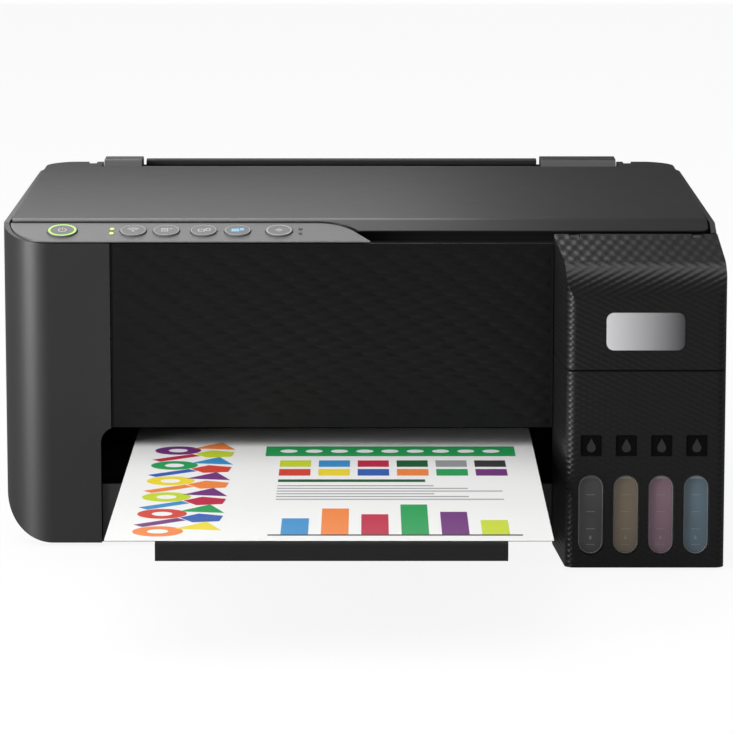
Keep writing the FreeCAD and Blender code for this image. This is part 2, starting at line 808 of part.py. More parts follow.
def make_control_panel():
    """Sloping panel with six sprung buttons and two pairs of indicator lights."""
    front = house_face + gap
    wedge = prism("side", [
        (front, panel_under), (front, panel_low), (back(panel_slope_back), panel_high),
        (back(panel_slope_back), panel_under)], -half_width, half_width)
    panel = wedge.common(prism("plan", panel_outline(0), 0, far))
    cuts = []
    for name, (place, radius) in BUTTONS.items():
        x = place - bed_half
        cuts.append(on_slope(x, button_back, radius + play, 4 * button_depth, 4 * button_depth))
        button = on_slope(x, button_back, radius, button_depth, button_rise)
        save(f"button_{name}", button.makeFillet(button_rise / 2, [button.Edges[0]]))
    lights = []
    for place in (left_lights, right_lights):
        x = place - bed_half
        for side in (-0.5, 0.5):
            spot = button_back + side * light_spacing
            cuts.append(on_slope(x, spot, light_radius + running_fit, 4 * button_depth, 4 * button_depth))
            lights.append(on_slope(x, spot, light_radius, button_depth, gap / 2))
    save("control_panel", without(panel, cuts))
    save("indicator_lights", *lights)


def make_lid():
    """Scanner lid with a rolled front lip, two hinge ears at the rear and a pad underneath."""
    seam_y = back(panel_slope_back + lid_seam)
    lip_y = back(lid_lip_back)
    ear_y = back(lid_ear_back)
    mid_y = back(lid_mid_back)
    lean = (panel_tip_right - panel_tip_top) / (panel_slope_back - front_setback)
    tip_x = panel_tip_top + 2 * lid_seam
    lip_x = tip_x + lean * (seam_y - lip_y)
    plan = prism("plan", [
        (-lid_half, seam_y, lid_round), (tip_x, seam_y, panel_tip_radius), (lip_x, lip_y, lid_round),
        (lid_half, lip_y, 2 * lid_round), (lid_half, ear_y, lid_corner), (lid_ear_inner, ear_y, lid_round),
        (lid_ear_inner, mid_y, lid_round), (-lid_ear_inner, mid_y, lid_round),
        (-lid_ear_inner, ear_y, lid_round),
        (-lid_half, ear_y, lid_corner)], 0, far)
    crown = prism("side", [
        (lip_y, lid_under), (lip_y, lid_lip_top), (back(lid_crease_back), lid_front_top, 8 * lid_round),
        (ear_y, lid_rear_top, lid_round / 2), (ear_y, lid_under)], -lid_half, lid_half)
    lid = plan.common(crown)
    pad_half = glass_width / 2
    pad_front = back(panel_slope_back + 4 * lid_seam)
    pad_rear = back(bed_back - 4 * lid_seam)
    pocket = box(-pad_half, pad_half, pad_front, pad_rear, 0, lid_under + pad_thickness)
    axis_y = back(lid_axis_back)
    lug_start = (hinge_arm_inner + hinge_arm_outer - lid_lug_width) / 2 - gap
    notch_front = axis_y - 2 * lid_lug_radius
    notches = both_sides(lambda: box(
        lug_start, lug_start + lid_lug_width + 2 * gap, notch_front, ear_y + gap, 0, far))
    bore = rod("x", axis_y, lid_axis_height, lid_pin_radius + running_fit, -far, far)
    save("scanner_lid", without(lid, [pocket, bore] + notches))
    save("lid_pad", box(-pad_half + gap / 4, pad_half - gap / 4, pad_front + gap / 4, pad_rear - gap / 4,
                        bed_top + play, lid_under + pad_thickness))


def slant_y(distance, height):
    """Y of a slanted plane this far behind the face of the paper support."""
    return back(support_back + distance + math.tan(math.radians(support_slant)) * (height - slot_height))


def slanted_plate(near, far_side, low, high, left, right):
    return prism("side", [
        (slant_y(near, low), low), (slant_y(far_side, low), low), (slant_y(far_side, high), high),
        (slant_y(near, high), high)], left, right)


def make_feeder():
    """Rear block with the slanted chute, and the paper support that slides up out of it."""
    square = math.cos(math.radians(support_slant))
    support_deep = support_thickness / square
    chute_near = support_deep + play
    chute_deep = chute_wall / square
    chute_top = slot_height - 2 * chute_deep / 3
    wall_top = slot_height - 3 * gap
    rear_wall = box(-feeder_half, feeder_half, rear_face - wall, rear_face, floor_height + gap, wall_top)
    chute = slanted_plate(chute_near, chute_near + chute_deep, chute_bottom, chute_top, -feeder_half,
                          feeder_half)
    front_wall = slanted_plate(-slot_width - chute_deep, -slot_width, front_wall_bottom, slot_height,
                               -feeder_half, feeder_half)
    shoulder_side = [
        (back(feeder_front), feeder_under), (back(feeder_front), slot_height),
        (back(feeder_front) + feeder_brow, feeder_top, feeder_brow), (rear_face, feeder_top, feeder_brow),
        (rear_face, feeder_under)]
    shoulders = [prism("side", shoulder_side, -feeder_half, slot_left),
                 prism("side", shoulder_side, slot_right, feeder_half)]
    pin_bore = rod("x", back(scanner_axis_back), scanner_axis_height, scanner_pin_radius + running_fit,
                   -far, far)
    cuts = [pin_bore, socket_block(inlet_x, inlet_height, inlet_width, inlet_tall, gap / 4),
            socket_block(port_x, port_height, port_width, port_tall, gap / 4)]
    # What the chute and the rear wall would leave past the rear face is trimmed away.
    cuts.append(box(-far, far, rear_face, 2 * far, -far, far))
    save("rear_housing", without(joined([rear_wall, chute, front_wall] + shoulders), cuts))

    left = slot_left + support_side
    right = slot_right - support_side
    plate_low = slot_height - support_length * square
    plate = slanted_plate(0, support_deep, plate_low, slot_height, left, right)
    head = prism("side", [
        (back(support_back - support_head), wall_top + gap, support_head_round),
        (rear_face - 2 * gap, wall_top + gap, support_head_round),
        (rear_face - 2 * gap, support_head_top, support_head_round),
        (back(support_back - support_head), support_head_top, support_head_round)],
        left, right)
    save("paper_support", joined([plate, head]))

    guide_low = front_wall_bottom - 2 * guide_height / 3
    cheek = slanted_plate(-guide_deep, -play, guide_low, guide_low + guide_height, guide_x,
                          guide_x + chute_wall)
    foot = slanted_plate(-chute_wall, -play, guide_low, guide_low + guide_height, guide_x,
                         guide_x + guide_foot)
    save("edge_guide", joined([cheek, foot]))


def socket_block(x, height, width, tall, grow):
    """Body of a socket let into the rear wall, flush with its outside."""
    return box(x - width / 2 - grow, x + width / 2 + grow, rear_face - socket_depth, rear_face,
               height - tall / 2 - grow, height + tall / 2 + grow)


def make_sockets():
    """Power inlet with two contact pins, and the square data port."""
    left = inlet_x - inlet_mouth_width / 2
    right = inlet_x + inlet_mouth_width / 2
    low = inlet_height - inlet_mouth_height / 2
    high = inlet_height + inlet_mouth_height / 2
    mouth_round = inlet_mouth_height / 3
    hollow = prism("front", [
        (left, low, mouth_round), (right, low, mouth_round), (right, high, mouth_round),
        (left, high, mouth_round)],
        rear_face - inlet_mouth_depth, rear_face)
    block = socket_block(inlet_x, inlet_height, inlet_width, inlet_tall, 0).cut(hollow)
    contacts = [rod("y", inlet_x + side * inlet_mouth_width / 4, inlet_height, contact_radius,
                    rear_face - socket_depth + gap, rear_face - inlet_mouth_depth / 4) for side in (-1, 1)]
    save("power_inlet", joined([block] + contacts))
    port = socket_block(port_x, port_height, port_width, port_tall, 0)
    mouth = box(port_x - port_mouth_width / 2, port_x + port_mouth_width / 2,
                rear_face - port_mouth_depth, rear_face,
                port_height - port_mouth_height / 2, port_height + port_mouth_height / 2)
    save("data_port", port.cut(mouth))


def make_output_tray():
    """Two-stage output tray, drawn out, and the sheet that lies on it."""
    front = back(tray_front)
    rear = front + tray_length
    channel_top = tray_top - tray_plate
    profile = [
        (tray_left, tray_under), (slide_left + slide_lip, tray_under),
        (slide_left + slide_lip, slide_floor - play),
        (slide_left - play, slide_floor - play), (slide_left - play, channel_top),
        (slide_right + play, channel_top), (slide_right + play, slide_floor - play),
        (slide_right - slide_lip, slide_floor - play), (slide_right - slide_lip, tray_under),
        (tray_right, tray_under), (tray_right, tray_top), (tray_left, tray_top)]
    save("output_tray", prism("front", profile, front, rear))

    face = back(-tray_reach)
    plate = box(slide_left, slide_right, face, front + slide_overlap, slide_floor,
                slide_floor + slide_thickness)
    block = prism("side", [
        (face, slide_floor, slide_round), (face + slide_face, slide_floor),
        (face + slide_face, tray_top, slide_round / 2), (face, tray_top, slide_round)], slide_left,
        slide_right)
    save("tray_extension", joined([plate, block]))

    sheet_low = tray_top + play
    save("printed_sheet", box(sheet_left, sheet_left + sheet_width, back(sheet_setback - tray_reach),
                              back(sheet_setback - tray_reach) + sheet_length, sheet_low,
                              sheet_low + sheet_thickness))


def make_base():
    """Floor of the machine with the front lip and the runners that carry the output tray."""
    seam = half_width - belly_radius - gap
    low = floor_height
    high = floor_height + wall
    front = house_face + wall + gap
    rear = rear_face - wall - gap
    beside_tank = box(-seam, tank_left_back - gap, front, back(tank_depth + gap), low, high)
    floor = box(-seam, seam, back(tank_depth + gap) - gap / 2, rear, low, high)
    lip = box(opening_left + gap, tank_left_back - gap, front, front + wall, low, base_lip_top)
    runner_rear = back(tray_front + tray_length + tray_travel)
    runners = []
    for edge, side in ((tray_left, 1), (tray_right, -1)):
        inner = edge + side * runner_width
        outer = edge - side * (play + runner_guide)
        wall_in = edge - side * play
        runners.append(box(min(inner, outer), max(inner, outer), front, runner_rear, low,
                           tray_under - play))
        runners.append(box(min(outer, wall_in), max(outer, wall_in), front, runner_rear, low,
                           tray_top - tray_plate))
    save("base_tray", joined([beside_tank, floor, lip] + runners))
    feet = [rod("z", side * foot_x, back(place), foot_radius, 0, floor_height)
            for side in (-1, 1) for place in (foot_front, foot_rear)]
    save("feet", *feet)


def gear(y, z, teeth, phase, x0, x1):
    """Spur gear along X with straight-flanked teeth; phase turns it by that many teeth."""
    pitch_radius = gear_module * teeth / 2
    tip = pitch_radius + 0.9 * gear_module
    root = pitch_radius - 1.2 * gear_module
    step = 2 * math.pi / teeth
    half_root = 0.34 * step
    half_tip = 0.13 * step
    points = []
    for index in range(teeth):
        centre = (index + phase) * step
        for radius, offset in ((root, -half_root), (tip, -half_tip), (tip, half_tip), (root, half_root)):
            angle = centre + offset
            points.append((y + radius * math.cos(angle), z + radius * math.sin(angle)))
    return prism("side", points, x0, x1)


def make_frame():
    """Sheet-metal frame: two side plates, the back plate of the carriage and the stub axles."""
    outer = frame_half + frame_sheet
    low = floor_height + wall
    plate_side = [
        (back(exit_back - plate_margin), low), (back(pickup_back + plate_margin - plate_step), low),
        (back(pickup_back + plate_margin), pickup_height + plate_margin, plate_round),
        (back(back_plate + head_rear), frame_top, plate_round),
        (back(back_plate - head_front), frame_top, plate_round),
        (back(exit_back - plate_margin - plate_lean), roller_height + plate_margin + plate_step,
         plate_round)]
    plates = both_sides(lambda: prism("side", plate_side, frame_half, outer))
    sheet_y = back(back_plate)
    lip_low = frame_top - 2 * back_plate_sheet
    lip_high = frame_top - back_plate_sheet
    sheet_foot = carriage_rod_height + back_plate_rise
    sheet = prism("side", [
        (sheet_y, sheet_foot), (sheet_y + back_plate_sheet, sheet_foot),
        (sheet_y + back_plate_sheet, lip_high),
        (sheet_y - back_plate_lip, lip_high), (sheet_y - back_plate_lip, lip_low), (sheet_y, lip_low)],
        -frame_half, frame_half)
    idler_stub = rod("x", idler_y, roller_height, idler_shaft, gear_left - stub_end, -frame_half)
    pulley_stub = rod("y", pulley_x, belt_height, pulley_shaft, back(belt_back) - stub_end,
                      sheet_y + back_plate_sheet)
    frame = joined(plates + [sheet, idler_stub, pulley_stub])
    bores = [
        rod("x", back(feed_back), roller_height, shaft_radius + running_fit, -far, far),
        rod("x", back(exit_back), roller_height, shaft_radius + running_fit, -far, far),
        rod("x", back(pickup_back), pickup_height, pickup_shaft + running_fit, -far, far),
        rod("x", pinion_y, roller_height, motor_bore, -far, 0),
        rod("y", -pulley_x, belt_height, motor_bore, sheet_y - stub_end, sheet_y + 2 * back_plate_sheet)]
    save("main_frame", without(frame, bores))


def make_rollers():
    """Rollers that run in the side plates, with the gears and the motor that turn them at the left."""
    end = frame_half + frame_sheet - gap
    barrel_end = frame_half - roller_end
    for name, place, radius in (("feed", feed_back, feed_radius), ("exit", exit_back, exit_radius)):
        shaft = rod("x", back(place), roller_height, shaft_radius, gear_left, end)
        barrel = rod("x", back(place), roller_height, radius, -barrel_end, barrel_end)
        save(f"{name}_roller", joined([shaft, barrel]))
        wheel = gear(back(place), roller_height, gear_teeth, 0, gear_left, gear_right)
        hole = rod("x", back(place), roller_height, shaft_radius + running_fit / 2, gear_left, gear_right)
        save(f"{name}_gear", wheel.cut(hole))
    idler = gear(idler_y, roller_height, gear_teeth, 0.5, gear_left, gear_right)
    idler_hole = rod("x", idler_y, roller_height, idler_shaft + running_fit, gear_left, gear_right)
    save("idler_gear", idler.cut(idler_hole))

    shaft_end = motor_shaft_depth - frame_half
    pinion = gear(pinion_y, roller_height, pinion_teeth, 0.5, gear_left, gear_right)
    save("feed_pinion", joined([pinion, rod("x", pinion_y, roller_height, motor_shaft, gear_left,
                                            shaft_end)]))
    motor = rod("x", pinion_y, roller_height, feed_motor_radius, -frame_half, motor_length - frame_half)
    motors.append(motor.cut(rod(
        "x", pinion_y, roller_height, motor_shaft + running_fit, -frame_half, shaft_end + stub_end)))

    shaft = rod("x", back(pickup_back), pickup_height, pickup_shaft, -end, end)
    tyre = rod("x", back(pickup_back), pickup_height, pickup_radius, paper_middle - pickup_width / 2,
               paper_middle + pickup_width / 2)
    save("pickup_roller", joined([shaft, tyre]))


def make_carriage():
    """Ink carriage on its round rod, with its print head."""
    left = carriage_home - carriage_width / 2
    right = carriage_home + carriage_width / 2
    rod_y = back(carriage_rod_back)
    rear = rod_y - carriage_from_rod
    front = rear - carriage_depth
    low = platen_top + carriage_lift
    top = low + carriage_height
    shell = prism("side", [
        (front, low, carriage_wall), (rear, low), (rear, top, carriage_round),
        (front + nose_setback, top, carriage_round), (front, low + nose_height, carriage_round)], left,
        right)
    well = box(left + carriage_wall, right - carriage_wall, front + nose_setback + carriage_wall,
               rear - well_rear,
               low + carriage_floor, far)
    boss = prism("side", [
        (rear - boss_root, carriage_rod_height - boss_half),
        (rod_y + boss_behind, carriage_rod_height - boss_half, boss_round),
        (rod_y + boss_behind, carriage_rod_height + boss_half, boss_round),
        (rear - boss_root, carriage_rod_height + boss_half)], left, right)
    strand = belt_height + pulley_radius
    clip_end = back(belt_back) + belt_width
    clips = [box(carriage_home - clip_half, carriage_home + clip_half, rear - boss_root, clip_end,
                 clip_low, clip_low + clip_plate)
             for clip_low in (strand + belt_thickness + play, strand - play - clip_plate)]
    bush = rod("x", rod_y, carriage_rod_height, carriage_rod_radius + running_fit, -far, far)
    save("ink_carriage", joined([shell.cut(well), boss] + clips).cut(bush))
    head_front_y = front + head_setback
    save("print_head", box(carriage_home - head_half, carriage_home + head_half, head_front_y,
                           head_front_y + head_depth, low - head_drop, low))
    save("carriage_rod", rod("x", rod_y, carriage_rod_height, carriage_rod_radius, -frame_half, frame_half))


def belt_outline(radius):
    """Long loop round both pulleys, seen from the front."""
    return [
        (-pulley_x - radius, belt_height - radius, radius), (pulley_x + radius, belt_height - radius,
                                                             radius),
        (pulley_x + radius, belt_height + radius, radius), (-pulley_x - radius, belt_height + radius,
                                                            radius)]


def make_belt_drive():
    """Belt, motor pulley and idler pulley that draw the carriage along, and the carriage motor."""
    front = back(belt_back)
    rear = front + belt_width
    loop = prism("front", belt_outline(pulley_radius + belt_thickness), front, rear)
    save("carriage_belt", loop.cut(prism("front", belt_outline(pulley_radius), front, rear)))
    motor_y = back(back_plate + back_plate_sheet)
    wheel = rod("y", -pulley_x, belt_height, pulley_radius - running_fit, front, rear)
    spindle = rod("y", -pulley_x, belt_height, motor_shaft, front, motor_y + spindle_depth)
    save("motor_pulley", joined([wheel, spindle]))
    motor = rod("y", -pulley_x, belt_height, carriage_motor_radius, motor_y, motor_y + motor_length)
    motors.append(motor.cut(rod(
        "y", -pulley_x, belt_height, motor_shaft + running_fit, motor_y,
        motor_y + spindle_depth + stub_end)))
    idle = rod("y", pulley_x, belt_height, pulley_radius - running_fit, front, rear)
    save("idler_pulley", idle.cut(rod("y", pulley_x, belt_height, pulley_shaft + running_fit, front, rear)))


def make_platen():
    """Ribbed paper table under the carriage, and the capping station at the home end."""
    front = back(exit_back + platen_from_exit)
    rear = back(feed_back - platen_from_feed)
    under = platen_top - platen_thickness
    table = box(-frame_half, frame_half, front, rear, under, platen_top - rib_height)
    ribs = [box(x - rib_width / 2, x + rib_width / 2, front, rear, under, platen_top)
            for x in [paper_middle + rib_pitch * step for step in range(-ribs_each_side,
                                                                        ribs_each_side + 1)]]
    left = tray_right + station_from_tray
    right = frame_half - station_from_frame
    near = front + station_front
    distant = rear - station_rear
    rim = platen_top - station_drop
    room = box(left - station_room, right + station_room, near - station_room, distant + station_room, 0,
               far)
    save("platen", joined([table] + ribs).cut(room))
    block = box(left, right, near, distant, floor_height + wall, rim)
    cup = box(left + station_rim_side, right - station_rim_side, near + station_rim_end,
              distant - station_rim_end,
              rim - station_cup, far)
    save("capping_station", block.cut(cup))


def make_electrics():
    """Main board on its posts, power supply and waste ink pad."""
    low = floor_height + wall
    save("main_board", box(board_x, board_x + board_thickness, back(board_front), back(board_rear),
                           board_low, board_top))
    save("power_supply", box(tray_right + supply_from_tray, frame_half - supply_from_frame,
                             back(pickup_back - supply_before_pickup),
                             rear_face - socket_depth - supply_from_inlet, low, low + supply_height))
    pad_front = back(tray_front + tray_length + tray_travel + waste_behind_tray)
    pad_rear = rear_face - wall - waste_from_wall
    save("waste_ink_pad", box(-waste_half, waste_half, pad_front, pad_rear, low, low + waste_height))


os.makedirs("parts", exist_ok=True)
make_housings()
make_front_panel()
make_tank_housing()
make_tank_cover()
make_tanks()
make_scanner_bed()
make_control_panel()
make_lid()
make_feeder()
make_sockets()
make_output_tray()
make_base()
make_frame()
make_rollers()
make_carriage()
make_belt_drive()
make_platen()
make_electrics()
save("hinge_pins", *hinge_pins)
save("motors", *motors)
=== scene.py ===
# %% [markdown]
# # Dressing an inkjet printer
# The printer comes as a set of plain solids, already at the right size and in the right place.
# Our job is only its looks: the satin black shells, the facet pattern on the front, the lit
# buttons, the ink behind the level windows and the printed sheet on the tray. We load the solids
# as a fixed frame and never move them.

# %% Load the frame
import json
import math

import bmesh
import bpy
from mathutils import Matrix, Vector


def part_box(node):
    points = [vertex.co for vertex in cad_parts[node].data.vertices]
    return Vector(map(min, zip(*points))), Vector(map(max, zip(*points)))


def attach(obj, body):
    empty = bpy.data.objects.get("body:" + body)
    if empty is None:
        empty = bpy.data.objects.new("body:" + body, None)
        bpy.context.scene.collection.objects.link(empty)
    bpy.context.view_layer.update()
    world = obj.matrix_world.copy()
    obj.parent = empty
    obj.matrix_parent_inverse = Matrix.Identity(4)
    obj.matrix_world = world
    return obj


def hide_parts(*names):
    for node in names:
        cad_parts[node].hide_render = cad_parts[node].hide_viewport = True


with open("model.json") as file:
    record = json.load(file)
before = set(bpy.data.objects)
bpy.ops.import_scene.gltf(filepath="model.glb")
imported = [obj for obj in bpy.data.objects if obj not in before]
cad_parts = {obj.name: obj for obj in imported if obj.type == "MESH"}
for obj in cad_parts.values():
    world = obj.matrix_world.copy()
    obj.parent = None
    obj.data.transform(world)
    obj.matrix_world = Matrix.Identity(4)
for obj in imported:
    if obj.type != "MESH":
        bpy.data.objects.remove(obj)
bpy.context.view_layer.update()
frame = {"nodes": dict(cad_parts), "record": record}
nodes = frame["nodes"]
MM = 0.001

# %% [markdown]
# ## Writing shader maths as Python
# A finish is a small network of nodes. Adding nodes by hand is slow to read, so one class wraps an
# output socket and overloads the operators: `1 - mask` then adds a Math node by itself. A second
# class makes any other node in one call, and a third adds a material and its shader to that. Colours
# are written as they look on a screen and turned into linear values.


# %% Socket arithmetic
class Signal:
    """One output socket that can be added, multiplied and compared like a number."""

    def __init__(self, tree, socket):
        self.tree = tree
        self.socket = socket

    def math(self, operation, *others):
        node = self.tree.nodes.new("ShaderNodeMath")
        node.operation = operation
        for place, value in zip(node.inputs, others):
            connect(self.tree, place, value)
        return Signal(self.tree, node.outputs[0])

    def __add__(self, other):
        return self.math("ADD", self, other)

    def __radd__(self, other):
        return self.math("ADD", other, self)

    def __sub__(self, other):
        return self.math("SUBTRACT", self, other)

    def __rsub__(self, other):
        return self.math("SUBTRACT", other, self)

    def __mul__(self, other):
        return self.math("MULTIPLY", self, other)

    def __rmul__(self, other):
        return self.math("MULTIPLY", other, self)

    def __truediv__(self, other):
        return self.math("DIVIDE", self, other)

    def __lt__(self, other):
        return self.math("LESS_THAN", self, other)

    def sine(self):
        return self.math("SINE", self)

    def clipped(self):
        return self.math("MINIMUM", self.math("MAXIMUM", self, 0.0), 1.0)

    def other(self, name):
        """Another output of the same node."""
        return Signal(self.tree, self.socket.node.outputs[name])


def connect(tree, place, value):
    """Link a signal to an input, or write a plain value into it."""
    if isinstance(value, Signal):
        tree.links.new(value.socket, place)
    else:
        place.default_value = value


class Network:
    """A node tree with a method that makes any node, and short forms of the usual ones."""

    def __init__(self, tree):
        self.tree = tree

    def node(self, kind, settings=None, inputs=None, output=0):
        made = self.tree.nodes.new(kind)
        for key, value in (settings or {}).items():
            setattr(made, key, value)
        for key, value in (inputs or {}).items():
            connect(self.tree, made.inputs[key], value)
        return Signal(self.tree, made.outputs[output])

    def place(self, kind="Object"):
        """Position on the solid, in metres, as three signals; in a world, the direction looked in."""
        where = self.node("ShaderNodeTexCoord", output=kind)
        split = self.node("ShaderNodeSeparateXYZ", inputs={0: where})
        return [split.other(axis) for axis in "XYZ"]

    def noise(self, scale, detail=3.0):
        where = self.node("ShaderNodeTexCoord", output="Object")
        return self.node("ShaderNodeTexNoise", inputs={"Vector": where, "Scale": scale, "Detail": detail})

    def mix(self, share, first, second):
        """Blend of two colours."""
        return self.node("ShaderNodeMix", {"data_type": "RGBA"}, {0: share, 6: first, 7: second}, output=2)


class Finish(Network):
    """A material and its shader."""

    def __init__(self, name):
        self.material = bpy.data.materials.new(name)
        self.material.use_nodes = True
        super().__init__(self.material.node_tree)
        self.shader = self.tree.nodes["Principled BSDF"]

    def bump(self, height, depth, strength):
        inputs = {"Height": height, "Distance": depth, "Strength": strength}
        connect(self.tree, self.shader.inputs["Normal"], self.node("ShaderNodeBump", inputs=inputs))

    def set(self, **sockets):
        for name, value in sockets.items():
            connect(self.tree, self.shader.inputs[name.replace("_", " ")], value)


def srgb(red, green, blue):
    """Colour as seen on a screen, 0 to 255, as the linear values that shaders use."""
    def linear(level):
        share = level / 255
        return share / 12.92 if share <= 0.04045 else ((share + 0.055) / 1.055) ** 2.4
    return (linear(red), linear(green), linear(blue), 1.0)


print("shader helpers ready; mid grey is", [round(v, 3) for v in srgb(128, 128, 128)])

# %% [markdown]
# ## Moulded plastic
# Almost everything here is injection-moulded plastic. A single colour would look dead, so each
# plastic gets a fine spark-eroded grain as bump, a slow drift of colour and a roughness that varies
# a little, as handling leaves it. The tank unit has rows of short ribs in place of the grain.

# %% Plastic finishes
DRIFT_SCALE = 9.0
GLOSS_SCALE = 60.0
GLOSS_SPAN = 0.04
GRAIN_DEPTH = 0.03 * MM
GRAIN_STRENGTH = 0.5
FINE_GRAIN = 0.02 * MM
RIB_LENGTH = 6.2 * MM
RIB_ROW = 1.45 * MM
RIB_DEPTH = 0.25 * MM
RIB_STRENGTH = 0.5
BLACK = srgb(24, 24, 25)


def smooth(name, colour, rough, shine, drift):
    """Plastic with slow colour drift and uneven gloss; shine is how strongly it mirrors."""
    finish = Finish(name)
    darker = tuple(channel * (1 - drift) for channel in colour[:3]) + (1.0,)
    lighter = tuple(channel * (1 + drift) for channel in colour[:3]) + (1.0,)
    gloss = rough - GLOSS_SPAN / 2 + GLOSS_SPAN * finish.noise(GLOSS_SCALE)
    finish.set(Base_Color=finish.mix(finish.noise(DRIFT_SCALE), darker, lighter), Roughness=gloss,
               Specular_IOR_Level=shine)
    return finish


def moulded(name, colour, rough, shine=0.5, grain=2600.0, depth=GRAIN_DEPTH, drift=0.12):
    """Smooth plastic with a fine grain."""
    finish = smooth(name, colour, rough, shine, drift)
    finish.bump(finish.noise(grain, 2.0), depth, GRAIN_STRENGTH)
    return finish


def ribbed(name, colour, rough, shine, drift=0.12):
    """Smooth plastic with rows of short ribs, each row half a rib along from the last."""
    finish = smooth(name, colour, rough, shine, drift)
    x, _, z = finish.place()
    along = (x * (2 * math.pi / RIB_LENGTH)).sine()
    up = (z * (math.pi / RIB_ROW)).sine()
    finish.bump(along * up, RIB_DEPTH, RIB_STRENGTH)
    return finish


plastics = {
    "shell": moulded("shell_black", BLACK, 0.4, 0.95),
    "panel": moulded("front_panel_black", srgb(17, 17, 18), 0.38, 0.22),
    "tank": ribbed("tank_unit_black", srgb(18, 18, 18), 0.36, 0.48),
    "lid": moulded("lid_dark", srgb(34, 34, 35), 0.36, 0.3, depth=FINE_GRAIN),
    "control": moulded("control_panel_grey", srgb(100, 100, 101), 0.36, 0.4, drift=0.05),
    "inner": moulded("inner_black", srgb(38, 38, 39), 0.55, 0.3),
    "tray": moulded("tray_black", srgb(28, 28, 28), 0.45, 0.3),
    "cap": moulded("cap_grey", srgb(92, 92, 94), 0.45),
    "natural": moulded("natural_white", srgb(214, 212, 205), 0.45),
    "foam": moulded("pad_foam", srgb(232, 232, 228), 0.8, grain=900.0, depth=0.2 * MM),
    "rubber": moulded("roller_rubber", srgb(38, 38, 38), 0.75),
    "board": moulded("board_green", srgb(30, 84, 50), 0.4),
}
print("plastics:", ", ".join(sorted(plastics)))

# %% [markdown]
# ## Metal, glass and lights
# Pins, rods and the frame are bright steel, brushed along X. The badge plate on the cover is brushed
# aluminium under lacquer: stretched noise gives the brushing, and a painted reflection makes its colour
# fall from light at the left to dark at the right across the plate. The indicator lights share one solid,
# so a test on X decides which pair is lit.

# %% Metal, glass and light finishes
BRUSH_SCALE = 60.0
BRUSH_DEPTH = 0.02 * MM
BRUSH_STRENGTH = 0.4
BRUSH_GLOSS = 0.15


def brushed(name, light, dark, rough, stretch):
    """Metal with brushing along X."""
    finish = Finish(name)
    where = finish.node("ShaderNodeTexCoord", output="Object")
    mapped = finish.node("ShaderNodeMapping", inputs={"Vector": where, "Scale": stretch})
    lines = finish.node("ShaderNodeTexNoise", inputs={"Vector": mapped, "Scale": BRUSH_SCALE, "Detail": 4.0})
    finish.set(Base_Color=finish.mix(lines, dark, light), Metallic=1.0, Roughness=rough + BRUSH_GLOSS * lines)
    finish.bump(lines, BRUSH_DEPTH, BRUSH_STRENGTH)
    return finish


steel = brushed("bright_steel", srgb(205, 205, 206), srgb(160, 160, 162), 0.25, (1.0, 40.0, 40.0))
badge_low, badge_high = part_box("badge_plate")
badge = brushed("badge_silver", srgb(225, 226, 228), srgb(190, 191, 194), 0.3, (1.0, 60.0, 60.0))
# Painted reflection: the badge's colour falls from light at its left end to dark at its right end.
across = (badge.place()[0] - badge_low[0]) / (badge_high[0] - badge_low[0])
badge.set(Metallic=0.35, Base_Color=badge.mix(across.clipped(), srgb(230, 230, 232), srgb(72, 72, 75)))

glass = Finish("scanner_glass_clear")
glass.set(Base_Color=glass.mix(glass.noise(4.0), srgb(150, 160, 160), srgb(170, 178, 178)),
          Roughness=0.05, Alpha=0.35)

LIT_EDGE = -80 * MM
lights = Finish("indicator_lit")
lit = lights.place()[0] < LIT_EDGE
lights.set(Base_Color=lights.mix(lit, srgb(52, 54, 52), srgb(215, 228, 110)), Roughness=0.25,
           Emission_Color=lights.mix(lit, (0.0, 0.0, 0.0, 1.0), srgb(200, 215, 70)), Emission_Strength=0.6)
print("metal, glass and light finishes ready")

# %% [markdown]
# ## Ink seen through the tanks
# The tanks are smoky clear plastic and nearly full, so a window shows the ink's colour, darker below
# the level and paler in the air space above it. True refraction through four thin tanks would be
# slow and noisy, so the ink is painted in the tank wall: height above the floor picks the tone.

# %% Tank finishes
INK_LEVEL = 47.2 * MM
LEVEL_BLUR = 0.8 * MM
CLOUD_SCALE = 70.0
CLOUD_SHARE = 0.3
INKS = {
    "black": (srgb(84, 84, 85), srgb(104, 104, 105)),
    "yellow": (srgb(128, 115, 98), srgb(150, 144, 134)),
    "magenta": (srgb(132, 106, 118), srgb(152, 140, 146)),
    "cyan": (srgb(94, 112, 123), srgb(134, 146, 152)),
}
tanks = {}
for colour, (ink, air) in INKS.items():
    finish = Finish(f"{colour}_ink_tank")
    cloud = finish.noise(CLOUD_SCALE)
    edge = ((finish.place()[2] - INK_LEVEL) / LEVEL_BLUR + 0.5).clipped()
    finish.set(Base_Color=finish.mix(edge, finish.mix(cloud * CLOUD_SHARE, ink, BLACK), air),
               Roughness=0.18 + 0.1 * cloud, Coat_Weight=0.1, Specular_IOR_Level=0.3)
    tanks[colour] = finish
print("mixed ink for", len(tanks), "tanks, up to", INK_LEVEL / MM, "mm")

# %% [markdown]
# ## One finish per solid
# Each solid takes its finish through its material slots; its mesh stays as it came. A short table of
# names by finish keeps this readable and makes a forgotten solid easy to spot.


# %% Dress the solids
def dress(name, finish):
    """Give a solid's slots a finish."""
    solid = nodes[name]
    if not solid.material_slots:
        solid.data.materials.append(finish.material)
    for place in solid.material_slots:
        place.material = finish.material


